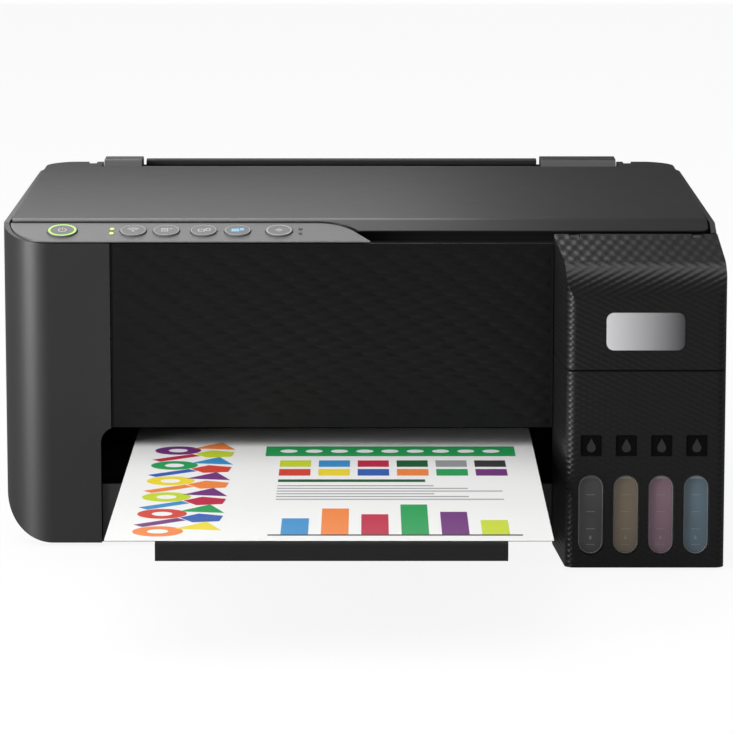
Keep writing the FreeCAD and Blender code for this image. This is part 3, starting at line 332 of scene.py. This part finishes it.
BUTTONS = ["power", "network", "status", "copy_grey", "copy_colour", "stop"]
paper = moulded("paper_white", srgb(235, 235, 234), 0.7, grain=1500.0, depth=FINE_GRAIN, drift=0.01)
wardrobe = [
    (plastics["shell"], ["left_housing", "right_housing", "rear_housing", "base_tray"]),
    (plastics["panel"], ["front_panel"]),
    (plastics["tank"], ["tank_housing", "tank_cover"]),
    (plastics["lid"], ["scanner_lid"]),
    (plastics["control"], ["control_panel"] + [f"button_{name}" for name in BUTTONS]),
    (plastics["inner"], ["scanner_bed", "paper_support", "edge_guide", "ink_carriage", "platen",
                         "capping_station", "scan_carriage", "power_inlet"]),
    (plastics["tray"], ["output_tray", "tray_extension"]),
    (plastics["cap"], [f"{colour}_cap" for colour in INKS]),
    (plastics["natural"], ["feed_gear", "exit_gear", "idler_gear", "feed_pinion", "motor_pulley",
                           "idler_pulley"]),
    (plastics["foam"], ["lid_pad", "waste_ink_pad"]),
    (plastics["rubber"], ["feet", "feed_roller", "exit_roller", "pickup_roller", "carriage_belt"]),
    (plastics["board"], ["main_board"]),
    (steel, ["hinge_pins", "lid_hinge_pins", "scan_rod", "carriage_rod", "main_frame", "motors",
             "print_head", "power_supply", "data_port"]),
    (badge, ["badge_plate"]),
    (glass, ["scanner_glass"]),
    (lights, ["indicator_lights"]),
    (paper, ["printed_sheet"]),
] + [(finish, [f"{colour}_tank"]) for colour, finish in tanks.items()]
dressed = set()
for finish, names in wardrobe:
    for name in names:
        dress(name, finish)
        dressed.add(name)
print("dressed", len(dressed), "solids; left out:", sorted(set(nodes) - dressed))

# %% [markdown]
# ## Making new pieces
# Fine marks such as rings, symbols and printed shapes are real thin plates. Two helpers make them:
# `add_piece` turns a mesh into an object that rides on a moving body, and `plates` raises flat
# outlines to a closed plate. Outlines run counter-clockwise, so their faces look outwards.


# %% Piece helpers
def add_piece(name, mesh, body, slot, *finishes):
    """Make an object of a mesh, let it ride on a body and give it its finishes."""
    data = bpy.data.meshes.new(name)
    mesh.to_mesh(data)
    mesh.free()
    made = bpy.data.objects.new(name, data)
    bpy.context.scene.collection.objects.link(made)
    for finish in finishes:
        data.materials.append(finish.material)
    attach(made, body)
    return made


def plates(outlines, place, thick):
    """Closed thin plates of (points, finish number), raised along the local Z axis of a place."""
    mesh = bmesh.new()
    for points, number in outlines:
        low = [mesh.verts.new(place @ Vector((u, w, 0.0))) for u, w in points]
        high = [mesh.verts.new(place @ Vector((u, w, thick))) for u, w in points]
        faces = [mesh.faces.new(low[::-1]), mesh.faces.new(high)]
        for first in range(len(points)):
            second = (first + 1) % len(points)
            faces.append(mesh.faces.new((low[first], low[second], high[second], high[first])))
        for face in faces:
            face.material_index = number
    return mesh


def rectangle(left, low, right, high):
    return [(left, low), (right, low), (right, high), (left, high)]


def arc(centre, radius, start, end, steps=24):
    """Points along an arc, angles in degrees."""
    angles = [math.radians(start + (end - start) * step / steps) for step in range(steps + 1)]
    return [(centre[0] + radius * math.cos(a), centre[1] + radius * math.sin(a)) for a in angles]


def band(centre, outer, inner, start, end):
    """Part of a flat ring."""
    return arc(centre, outer, start, end) + arc(centre, inner, end, start)


def ring(centre, outer, inner):
    return [band(centre, outer, inner, 0, 180), band(centre, outer, inner, 180, 360)]


def stroke(start, end, width):
    """Straight bar between two points."""
    along = Vector((end[0] - start[0], end[1] - start[1])).normalized() * (width / 2)
    side = (-along.y, along.x)
    return [(start[0] - side[0], start[1] - side[1]), (end[0] - side[0], end[1] - side[1]),
            (end[0] + side[0], end[1] + side[1]), (start[0] + side[0], start[1] + side[1])]


def frame_of(left, low, right, high, width):
    """Outline of a small page: four bars."""
    return [rectangle(left, low, right, low + width), rectangle(left, high - width, right, high),
            rectangle(left, low + width, left + width, high - width),
            rectangle(right - width, low + width, right, high - width)]


print("piece helpers ready")

# %% [markdown]
# ## Facets on the front panel
# The drop-front panel carries a faint pattern of triangles. A thin skin in front of the panel has a
# staggered grid of points, and every third point stands slightly proud, which tilts the triangles
# three ways so that they catch the light differently.

# %% Facet skin
FACET_WIDE = 6 * MM
FACET_ROW = 2 * MM
FACET_DEPTH = 0.3 * MM
SKIN_EDGE = 1.2 * MM
SKIN_THICK = 0.1 * MM
SKIN_PROUD = 0.15 * MM
panel_low, panel_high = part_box("front_panel")


def facet_skin():
    """Staggered grid of points with every third one raised, closed at the back and edges."""
    columns = int((panel_high[0] - panel_low[0] - 2 * SKIN_EDGE) / FACET_WIDE)
    rows = int((panel_high[2] - panel_low[2] - 2 * SKIN_EDGE) / FACET_ROW)
    left = (panel_low[0] + panel_high[0] - columns * FACET_WIDE) / 2
    low = (panel_low[2] + panel_high[2] - rows * FACET_ROW) / 2
    mesh = bmesh.new()
    grid = []
    for row in range(rows + 1):
        line = []
        for column in range(columns + 1):
            inside = 0 < row < rows and 0 < column < columns
            shift = FACET_WIDE / 2 if row % 2 and inside else 0
            proud = FACET_DEPTH if inside and (column + 2 * row) % 3 == 0 else 0
            across = left + column * FACET_WIDE + shift
            up = low + row * FACET_ROW
            line.append(mesh.verts.new((across, panel_low[1] - SKIN_PROUD - proud, up)))
        grid.append(line)
    for row in range(rows):
        for column in range(columns):
            a, b = grid[row][column], grid[row][column + 1]
            c, d = grid[row + 1][column + 1], grid[row + 1][column]
            for corners in (((a, b, c), (a, c, d)) if row % 2 else ((a, b, d), (b, c, d))):
                mesh.faces.new(corners)
    rim = [edge for edge in mesh.edges if edge.is_boundary]
    drawn_back = bmesh.ops.extrude_edge_only(mesh, edges=rim)["geom"]
    for item in drawn_back:
        if isinstance(item, bmesh.types.BMVert):
            item.co.y += SKIN_THICK
    back_rim = [item for item in drawn_back if isinstance(item, bmesh.types.BMEdge)]
    bmesh.ops.edgeloop_fill(mesh, edges=back_rim)
    bmesh.ops.recalc_face_normals(mesh, faces=mesh.faces)
    return mesh


skin = add_piece("front_facets", facet_skin(), "base", "black_body", plastics["panel"])
print("facet skin with", len(skin.data.polygons), "faces")

# %% [markdown]
# ## Shadow gaps
# Two seams read as dark lines: the one between the left housing and the front panel, and the one
# under the tank cover. A thin dark strip of painted shade lies along each, fixed to the body.

# %% Seam strips
SEAM_WIDE = 1.0 * MM
SEAM_THICK = 0.06 * MM
SEAM_GAP = 0.3 * MM
TANK_ROUND_LEFT = 4 * MM
TANK_ROUND_RIGHT = 1.5 * MM
# Near-black finish: on the two seam strips it is painted shade for the dark inside the gaps; the lips further
# down are black parts of their own.
seam_shade_and_lip_black = moulded("painted_seam_shade_and_lip", srgb(8, 8, 8), 0.8, 0.1)
UPRIGHT = Matrix.Rotation(math.radians(90), 4, "X")


def seam_strip(name, left, low, right, high, front):
    """Thin strip that stands on a front face."""
    facing = Matrix.Translation((0, front, 0)) @ UPRIGHT
    mesh = plates([(rectangle(left, low, right, high), 0)], facing, SEAM_THICK)
    add_piece(name, mesh, "base", "black_body", seam_shade_and_lip_black)


# Painted shade: one near-black strip down the seam between left housing and front panel, one under the tank
# cover.
seam_strip("panel_seam_shade", panel_low[0], panel_low[2], panel_low[0] + SEAM_WIDE, panel_high[2], panel_low[1])
tank_low, tank_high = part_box("tank_housing")
cover_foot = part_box("tank_cover")[0][2]
seam_strip("cover_seam_shade", tank_low[0] + TANK_ROUND_LEFT, cover_foot - SEAM_WIDE,
           tank_high[0] - TANK_ROUND_RIGHT, cover_foot - SEAM_GAP, tank_low[1])
print("two seam strips, the cover's foot is at", round(cover_foot / MM, 2), "mm")

# %% [markdown]
# ## Lips behind the rear seams
# Where two shells meet, one has a lip behind the seam that keeps light out. Through the paper opening
# the rear left corner can be seen, so it gets its lips: one upright, one along the floor and a shelf.

# %% Light lips
REAR_INSIDE = 262.6 * MM
SIDE_SEAM = -150 * MM
FLOOR_SEAM = 4.8 * MM
LIP_HALF = 1.5 * MM
LIP_TALL = 60 * MM
LIP_LONG = 15 * MM
seam_strip("lip_upright", SIDE_SEAM - LIP_HALF, FLOOR_SEAM, SIDE_SEAM + LIP_HALF, LIP_TALL, REAR_INSIDE)
seam_strip("lip_floor", SIDE_SEAM - LIP_LONG, FLOOR_SEAM, SIDE_SEAM - LIP_HALF, FLOOR_SEAM + LIP_HALF,
           REAR_INSIDE)
shelf = rectangle(SIDE_SEAM - LIP_LONG, REAR_INSIDE - LIP_LONG, SIDE_SEAM + LIP_LONG, REAR_INSIDE - SEAM_GAP)
shelf_mesh = plates([(shelf, 0)], Matrix.Translation((0, 0, FLOOR_SEAM)), SEAM_THICK)
add_piece("lip_shelf", shelf_mesh, "base", "black_body", seam_shade_and_lip_black)
print("lips stand at the rear left corner, inside")

# %% [markdown]
# ## Rings and symbols on the buttons
# The buttons lie on a slope, so each gets its own small coordinate frame: U to the right, W up the
# slope and N out of the face. Rings and symbols are drawn there in millimetres. The symbols are
# plain signs of the trade: a power mark, waves, a page, two pages and a stop mark.

# %% Button marks
joints = {joint["name"]: joint for joint in frame["record"]["behaviour"]["joints"]}
FACE_OUT = -Vector(joints["press_power"]["axis"]).normalized()
FACE_UP = Vector((0, FACE_OUT.z, -FACE_OUT.y))
MARK_THICK = 0.05 * MM
BUTTON_ROUNDING = 0.35 * MM
RING_OUTER = 0.93
RING_WIDE = {"power": 0.13, "stop": 0.07}
THIN_RING = 0.03
GLOW_SCALE = 400.0


def face_place(node):
    """Frame at the middle of a button's face, and its radius; a rounded rim takes a little off its box."""
    low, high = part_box(node)
    radius = (high[0] - low[0]) / 2
    rim_loss = BUTTON_ROUNDING * (FACE_UP.y + FACE_UP.z - 1)
    middle = Vector(((low[0] + high[0]) / 2, low[1] + radius * FACE_UP.y - rim_loss,
                     high[2] - radius * FACE_UP.z + rim_loss))
    turn = Matrix((Vector((1, 0, 0)), FACE_UP, FACE_OUT)).transposed().to_4x4()
    return Matrix.Translation(middle) @ turn, radius


def glowing(name, colour, strength):
    """Translucent mark lit from behind."""
    finish = Finish(name)
    tone = finish.mix(finish.noise(GLOW_SCALE), colour, tuple(0.8 * v for v in colour[:3]) + (1.0,))
    finish.set(Base_Color=tone, Roughness=0.4, Emission_Color=tone, Emission_Strength=strength)
    return finish


pale_mark = moulded("mark_pale", srgb(186, 187, 188), 0.5)
blue_mark = moulded("mark_blue", srgb(128, 190, 222), 0.5)
green_ring = glowing("ring_green", srgb(172, 226, 84), 0.5)
symbols = {
    "power": [band((0, 0), 2.3, 1.8, 120, 420), rectangle(-0.25, 0.4, 0.25, 2.9)],
    "network": [band((0, -1.8), 4.6, 4.0, 45, 135), band((0, -1.8), 3.1, 2.5, 45, 135),
                arc((0, -1.3), 0.7, 0, 345)],
    "status": frame_of(-2.6, -1.9, 1.0, 2.3, 0.5) + [
        rectangle(-1.7, 0.6, 0.2, 1.1), rectangle(-1.7, -0.6, 0.2, -0.1),
        stroke((1.8, 1.0), (3.0, 2.2), 0.6)],
    "copy_grey": frame_of(-3.0, -1.9, 0.6, 1.3, 0.5) + frame_of(1.0, -0.8, 3.6, 2.4, 0.5),
    "copy_colour": [rectangle(-3.2, -1.9, 0.9, 1.7), rectangle(1.3, -0.6, 3.4, 2.4)],
    "stop": [
        stroke((-1.8, 0), (0, 1.6), 0.5), stroke((0, 1.6), (1.8, 0), 0.5),
        stroke((1.8, 0), (0, -1.6), 0.5), stroke((0, -1.6), (-1.8, 0), 0.5),
        rectangle(-0.6, -0.3, 0.6, 0.3)],
}
for name in BUTTONS:
    place, radius = face_place(f"button_{name}")
    outer = RING_OUTER * radius
    inner = outer - RING_WIDE.get(name, THIN_RING) * radius
    finish = green_ring if name == "power" else pale_mark
    rings = [(points, 0) for points in ring((0, 0), outer, inner)]
    add_piece(f"ring_{name}", plates(rings, place, MARK_THICK), f"button_{name}", "light", finish)
    drawn = [([(u * MM, w * MM) for u, w in points], 0) for points in symbols[name]]
    sign = blue_mark if name == "copy_colour" else pale_mark
    add_piece(f"symbol_{name}", plates(drawn, place, MARK_THICK), f"button_{name}", "light", sign)
slope = math.degrees(math.asin(FACE_UP.z))
print("marked", len(BUTTONS), "buttons on a slope of", round(slope, 1), "degrees")

# %% [markdown]
# ## Level windows
# Behind each slot in the tank unit a clear lens bulges, seen as a paler rim with a drop mark at the
# foot and four level lines. The rim is a round bead along the slot; lines and drop are thin plates
# on the tank's own front face.

# %% Window rims and level lines
WINDOW_WIDE = 13.7 * MM
WINDOW_LOW = 7.7 * MM
WINDOW_HIGH = 49.6 * MM
RIM_INSET = 0.75 * MM
RIM_RADIUS = 0.42 * MM
LEVEL_LINES = [12.8 * MM, 21.0 * MM, 30.0 * MM, 38.8 * MM]
LINE_WIDE = 4.4 * MM
LINE_TALL = 0.35 * MM
DROP_AT = 16.2 * MM
SMALL_DROP = 0.75 * MM
DROP_TALL = 2.1


def bead(points, radius, sides=8):
    """Closed round bead through points that lie in one plane square to Y."""
    back = Vector((0, 1, 0))
    mesh = bmesh.new()
    loops = []
    for before, here, after in zip(points[-1:] + points[:-1], points, points[1:] + points[:1]):
        along = (after - before).normalized()
        out = along.cross(back)
        angles = [2 * math.pi * side / sides for side in range(sides)]
        loops.append([mesh.verts.new(here + radius * (math.cos(a) * out + math.sin(a) * back))
                      for a in angles])
    for first, second in zip(loops, loops[1:] + loops[:1]):
        for side in range(sides):
            nearby = (side + 1) % sides
            mesh.faces.new((first[side], first[nearby], second[nearby], second[side]))
    bmesh.ops.recalc_face_normals(mesh, faces=mesh.faces)
    for face in mesh.faces:
        face.smooth = True
    return mesh


def drop_outline(radius):
    """Round drop with a pointed top."""
    return arc((0, 0), radius, 150, 390) + [(0, DROP_TALL * radius)]


def tank_front(colour):
    """Middle of a tank in X, and its front face in Y."""
    low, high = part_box(f"{colour}_tank")
    return (low[0] + high[0]) / 2, low[1]


rim_finish = moulded("window_rim", srgb(112, 112, 113), 0.22)
line_finish = moulded("level_line", srgb(124, 122, 120), 0.4, 0.3)
half = WINDOW_WIDE / 2 - RIM_INSET
for colour in INKS:
    middle, front = tank_front(colour)
    loop = (arc((middle, WINDOW_HIGH - WINDOW_WIDE / 2), half, 0, 180)
            + arc((middle, WINDOW_LOW + WINDOW_WIDE / 2), half, 180, 360))
    path = [Vector((x, front - RIM_RADIUS, z)) for x, z in loop]
    add_piece(f"{colour}_window_rim", bead(path, RIM_RADIUS), "base", "clear_tank", rim_finish)
    marks = [rectangle(-LINE_WIDE / 2, z - LINE_TALL / 2, LINE_WIDE / 2, z + LINE_TALL / 2)
             for z in LEVEL_LINES]
    marks.append([(u, w + DROP_AT) for u, w in drop_outline(SMALL_DROP)])
    facing = Matrix.Translation((middle, front, 0)) @ UPRIGHT
    mesh = plates([(points, 0) for points in marks], facing, MARK_THICK)
    add_piece(f"{colour}_level_lines", mesh, "base", "clear_tank", line_finish)
print("rims and", len(LEVEL_LINES), "level lines on each of", len(INKS), "windows")

# %% [markdown]
# ## Marks in the square recesses
# Above each window is a small square recess. A near-black plate of painted shade lines its floor, and
# on it stands a drop, the common sign for ink, a little lighter than the body.

# %% Recess drops
RECESS_AT = 64.85 * MM
RECESS_DEEP = 0.8 * MM
RECESS_FLOOR = tank_low[1] + RECESS_DEEP
DROP_RADIUS = 2.3 * MM
DROP_THICK = 0.4 * MM
PLATE_HALF = 5.3 * MM
PLATE_ROUND = 1.0 * MM
PLATE_THICK = 0.1 * MM
CORNER_STEPS = 6
sign_black = moulded("recess_sign", srgb(44, 44, 45), 0.4, 0.2)
# Painted shade: a near-black plate on each recess floor stands in for the shade inside the recess.
recess_shade_black = moulded("recess_shade_plate", srgb(9, 9, 9), 0.6, 0.06)


def rounded_square(half, radius):
    """Square outline with rounded corners, counter-clockwise from the right."""
    core = half - radius
    corners = [(core, core, 0), (-core, core, 90), (-core, -core, 180), (core, -core, 270)]
    return [point for x, y, turn in corners
            for point in arc((x, y), radius, turn, turn + 90, CORNER_STEPS)]


for colour in INKS:
    middle, _ = tank_front(colour)
    facing = Matrix.Translation((middle, RECESS_FLOOR, RECESS_AT - DROP_RADIUS / 2)) @ UPRIGHT
    mesh = plates([(drop_outline(DROP_RADIUS), 0)], facing, DROP_THICK)
    add_piece(f"{colour}_recess_drop", mesh, "base", "black_body", sign_black)
    facing = Matrix.Translation((middle, RECESS_FLOOR, RECESS_AT)) @ UPRIGHT
    mesh = plates([(rounded_square(PLATE_HALF, PLATE_ROUND), 0)], facing, PLATE_THICK)
    add_piece(f"{colour}_recess_shade_plate", mesh, "base", "black_body", recess_shade_black)
print("a plate and a drop in each of", len(INKS), "recesses")

# %% [markdown]
# ## A plain test print
# A printed sheet lies on the tray. It shows a made-up test page: a column of simple bright shapes at
# the left, and beside it, from the near edge, a bar chart, rows of grey lines, a block of colour
# squares and a green band with white dots. Places run from the sheet's near left corner, S to the
# right and T to the rear.

# %% Test print
INK_THICK = 0.03 * MM
PRINT_COLOURS = {
    "green": (28, 158, 84), "deep_green": (20, 92, 46), "white": (244, 244, 243), "purple": (112, 44, 122),
    "red": (212, 62, 44), "blue": (44, 92, 178), "sky": (52, 142, 200), "yellow": (236, 214, 40),
    "orange": (238, 132, 58), "crimson": (190, 30, 66), "grey": (150, 152, 154), "black": (52, 50, 50),
    "lime": (198, 214, 44),
}
prints = [moulded(f"print_{name}", srgb(*tone), 0.55, grain=1500.0, depth=FINE_GRAIN / 2, drift=0.06)
          for name, tone in PRINT_COLOURS.items()]
number_of = {name: number for number, name in enumerate(PRINT_COLOURS)}
page = [[] for _ in range(4)]


def draw(colour, *outlines, layer=0):
    """Put outlines, in millimetres on the sheet, into one of the layers that lie over each other."""
    page[layer].extend(([(s * MM, t * MM) for s, t in points], number_of[colour]) for points in outlines)


def polygon(centre, radius, corners, turn=90):
    return arc(centre, radius, turn, turn + 360 * (corners - 1) / corners, corners - 1)


TEXT_LEFT = 78
CHART_FOOT = 13
CHART = [("sky", 38), ("orange", 62), ("crimson", 48), ("green", 72), ("purple", 54), ("lime", 34)]
draw("black", rectangle(76, CHART_FOOT - 3, 196, CHART_FOOT))
for step, (colour, height) in enumerate(CHART):
    left = 82 + 19 * step
    draw(colour, rectangle(left, CHART_FOOT, left + 13, CHART_FOOT + height))
for row in range(6):
    low = 97 + 7 * row
    draw("grey", rectangle(TEXT_LEFT, low, 190 - 17 * (row % 3), low + 2.5))
draw("deep_green", rectangle(TEXT_LEFT, 143, 152, 150))

SQUARES = ["red", "yellow", "blue", "orange", "green", "purple", "lime", "sky", "crimson", "deep_green",
           "grey", "black"]
SQUARES_IN_ROW = 6
for step, colour in enumerate(SQUARES):
    row, column = divmod(step, SQUARES_IN_ROW)
    left, low = TEXT_LEFT + 20 * column, 160 + 24 * row
    draw(colour, rectangle(left, low, left + 16, low + 18))
draw("green", rectangle(70, 214, 200, 242))
draw("white", *[polygon((82 + 13.2 * step, 228), 4.5, 24) for step in range(9)], layer=1)

COLUMN = ["orange", "yellow", "purple", "blue", "red", "green", "sky", "crimson", "lime", "purple", "orange"]
COLUMN_SHAPES = 22
for row in range(COLUMN_SHAPES):
    s, t = 24 + 20 * (row % 2), 20 + 10.5 * row
    bar = stroke((s - 10, t - 8), (s + 10, t + 8), 7)
    shapes = [ring((s, t), 12, 5), [polygon((s, t), 13, 3, 80)], [bar], [polygon((s, t), 11, 5, 30)]]
    kind = row % len(shapes)
    draw(COLUMN[row % len(COLUMN)], *shapes[kind], layer=kind)

sheet_low, sheet_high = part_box("printed_sheet")
print_place = Matrix.Translation((sheet_low[0], sheet_low[1], sheet_high[2]))
for layer, outlines in enumerate(page):
    mesh = plates(outlines, print_place, INK_THICK * (1 + layer))
    add_piece(f"test_print_{layer}", mesh, "printed_sheet", "paper", *prints)
print("printed", sum(len(outlines) for outlines in page), "shapes in", len(prints), "colours")

# %% [markdown]
# ## Pads of felt and foam
# The lid presses pages down with a foam pad, and a felt pad in the base soaks up waste ink. Both are
# soft, so the plain blocks of the frame are replaced by slabs with rounded, slightly pillowed edges.

# %% Soft pads
PAD_GRID = 32
PAD_CROWN = 0.5 * MM
PAD_EDGE = 0.4 * MM
PAD_FLATNESS = 8


def pillowed(name, node, body, slot, finish):
    """Slab that fills a node's box, rounded at its rim and crowned on its lower face."""
    low, high = Vector(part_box(node)[0]), Vector(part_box(node)[1])
    middle, half = (low + high) / 2, (high - low) / 2
    mesh = bmesh.new()
    bmesh.ops.create_grid(mesh, x_segments=PAD_GRID, y_segments=PAD_GRID, size=1.0)
    top = list(mesh.faces)
    grown = bmesh.ops.extrude_face_region(mesh, geom=top)["geom"]
    bmesh.ops.reverse_faces(mesh, faces=top)
    raised = {item for item in grown if isinstance(item, bmesh.types.BMVert)}
    for vert in mesh.verts:
        edge = max(abs(vert.co.x), abs(vert.co.y))
        lower = middle.z - half.z + PAD_CROWN * edge ** PAD_FLATNESS
        z = middle.z + half.z if vert in raised else lower
        vert.co = Vector((middle.x + vert.co.x * half.x, middle.y + vert.co.y * half.y, z))
    bmesh.ops.recalc_face_normals(mesh, faces=mesh.faces)
    for face in mesh.faces:
        face.smooth = True
    made = add_piece(name, mesh, body, slot, finish)
    rounding = made.modifiers.new("soft_edge", "BEVEL")
    rounding.width = PAD_EDGE
    rounding.segments = 3
    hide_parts(node)


pillowed("lid_foam", "lid_pad", "lid", "white_foam", plastics["foam"])
pillowed("waste_felt", "waste_ink_pad", "base", "white_foam", plastics["foam"])
print("two soft pads made")

# %% [markdown]
# ## Floor and surround
# A pale floor and a white surround keep the eye on the printer. Camera rays see both nearly white.
# Mirrored rays see the floor much dimmer, and a room that is bright at the left and dim elsewhere;
# otherwise the glossy black front would look grey.


# %% Floor and surround
def ray_kinds(network):
    """Two masks: rays from the camera, and rays that a glossy or clear surface sends on."""
    rays = network.node("ShaderNodeLightPath")
    mirrored = (rays.other("Is Glossy Ray") + rays.other("Is Transmission Ray")).clipped()
    return rays.other("Is Camera Ray"), mirrored


FLOOR_HALF = 4.0
FLOOR_GLOW = 0.9
FLOOR_MIRRORED = 0.15
floor_mesh = bpy.data.meshes.new("floor")
corners = rectangle(-FLOOR_HALF, -FLOOR_HALF, FLOOR_HALF, FLOOR_HALF)
floor_mesh.from_pydata([(x, y, 0) for x, y in corners], [], [(0, 1, 2, 3)])
floor = bpy.data.objects.new("floor", floor_mesh)
bpy.context.scene.collection.objects.link(floor)
floor_finish = moulded("floor_white", srgb(250, 250, 250), 0.9, drift=0.005)
seen, mirrored = ray_kinds(floor_finish)
bright = seen + FLOOR_MIRRORED * mirrored
glow = floor_finish.node("ShaderNodeEmission", inputs={"Strength": bright})
lit_floor = Signal(floor_finish.tree, floor_finish.shader.outputs[0])
share = (seen + mirrored).clipped() * FLOOR_GLOW
surface = floor_finish.node("ShaderNodeMixShader", inputs={0: share, 1: lit_floor, 2: glow})
connect(floor_finish.tree, floor_finish.tree.nodes["Material Output"].inputs["Surface"], surface)
floor_mesh.materials.append(floor_finish.material)

SURROUND = 0.5
ROOM_SIDE = 0.1
world = bpy.data.worlds.new("studio")
world.use_nodes = True
bpy.context.scene.world = world
room = Network(world.node_tree)
seen, mirrored = ray_kinds(room)
look_x, look_y, _ = room.place("Generated")
backdrop = (0.08 * look_y - look_x - 0.05).clipped()
plain = 1 - (seen + mirrored).clipped()
level = seen + mirrored * (ROOM_SIDE + (1 - ROOM_SIDE) * backdrop) + plain * SURROUND
background = room.tree.nodes["Background"]
connect(room.tree, background.inputs["Color"], (1.0, 1.0, 1.0, 1.0))
connect(room.tree, background.inputs["Strength"], level)
print("floor of", 2 * FLOOR_HALF, "m and surround made")

# %% [markdown]
# ## Lamps and camera
# A large soft lamp hangs above. A narrow one stands at the left, and its reflection runs down the
# rounded left corner. A third, behind, has a narrow beam on the lid's left front, so the lid darkens
# towards its rear and its right. The camera is far away with a long lens, a little above the printer.


# %% Lamps and camera
def soft_lamp(name, where, aim, size, power, spread=180):
    """Rectangular lamp that looks at a point; spread is its beam in degrees. The camera can't see it."""
    lamp = bpy.data.lights.new(name, "AREA")
    lamp.shape = "RECTANGLE"
    lamp.size, lamp.size_y = size
    lamp.energy = power
    lamp.spread = math.radians(spread)
    made = bpy.data.objects.new(name, lamp)
    made.location = where
    made.visible_camera = False
    made.rotation_euler = (Vector(aim) - Vector(where)).to_track_quat("-Z", "Y").to_euler()
    bpy.context.scene.collection.objects.link(made)


soft_lamp("overhead", where=(-0.4, 0.2, 2.2), aim=(0, 0, 0), size=(2.6, 2.0), power=24.5)
soft_lamp("left_strip", where=(-1.5, -1.05, 0.5), aim=(-0.17, 0, 0.1), size=(0.7, 1.6), power=37.0)
soft_lamp("lid_sheen", where=(-0.33, 0.75, 0.6), aim=(-0.18, -0.15, 0.15), size=(0.8, 0.25), power=0.2,
          spread=50)

CAMERA_AT = Vector((3.8, -2095.2, 434.1)) * MM
CAMERA_DOWN = 9.256
CAMERA_LENS = 196.6
CAMERA_REACH = 50
PICTURE = 733
camera_data = bpy.data.cameras.new("camera")
camera_data.lens = CAMERA_LENS
camera_data.clip_end = CAMERA_REACH
camera = bpy.data.objects.new("camera", camera_data)
camera.location = CAMERA_AT
camera.rotation_euler = (math.radians(90 - CAMERA_DOWN), 0, 0)
bpy.context.scene.collection.objects.link(camera)
scene = bpy.context.scene
scene.camera = camera
scene.render.resolution_x = PICTURE
scene.render.resolution_y = PICTURE
scene.view_settings.view_transform = "Standard"
print("camera", [round(v, 3) for v in camera.location], "lens", CAMERA_LENS)
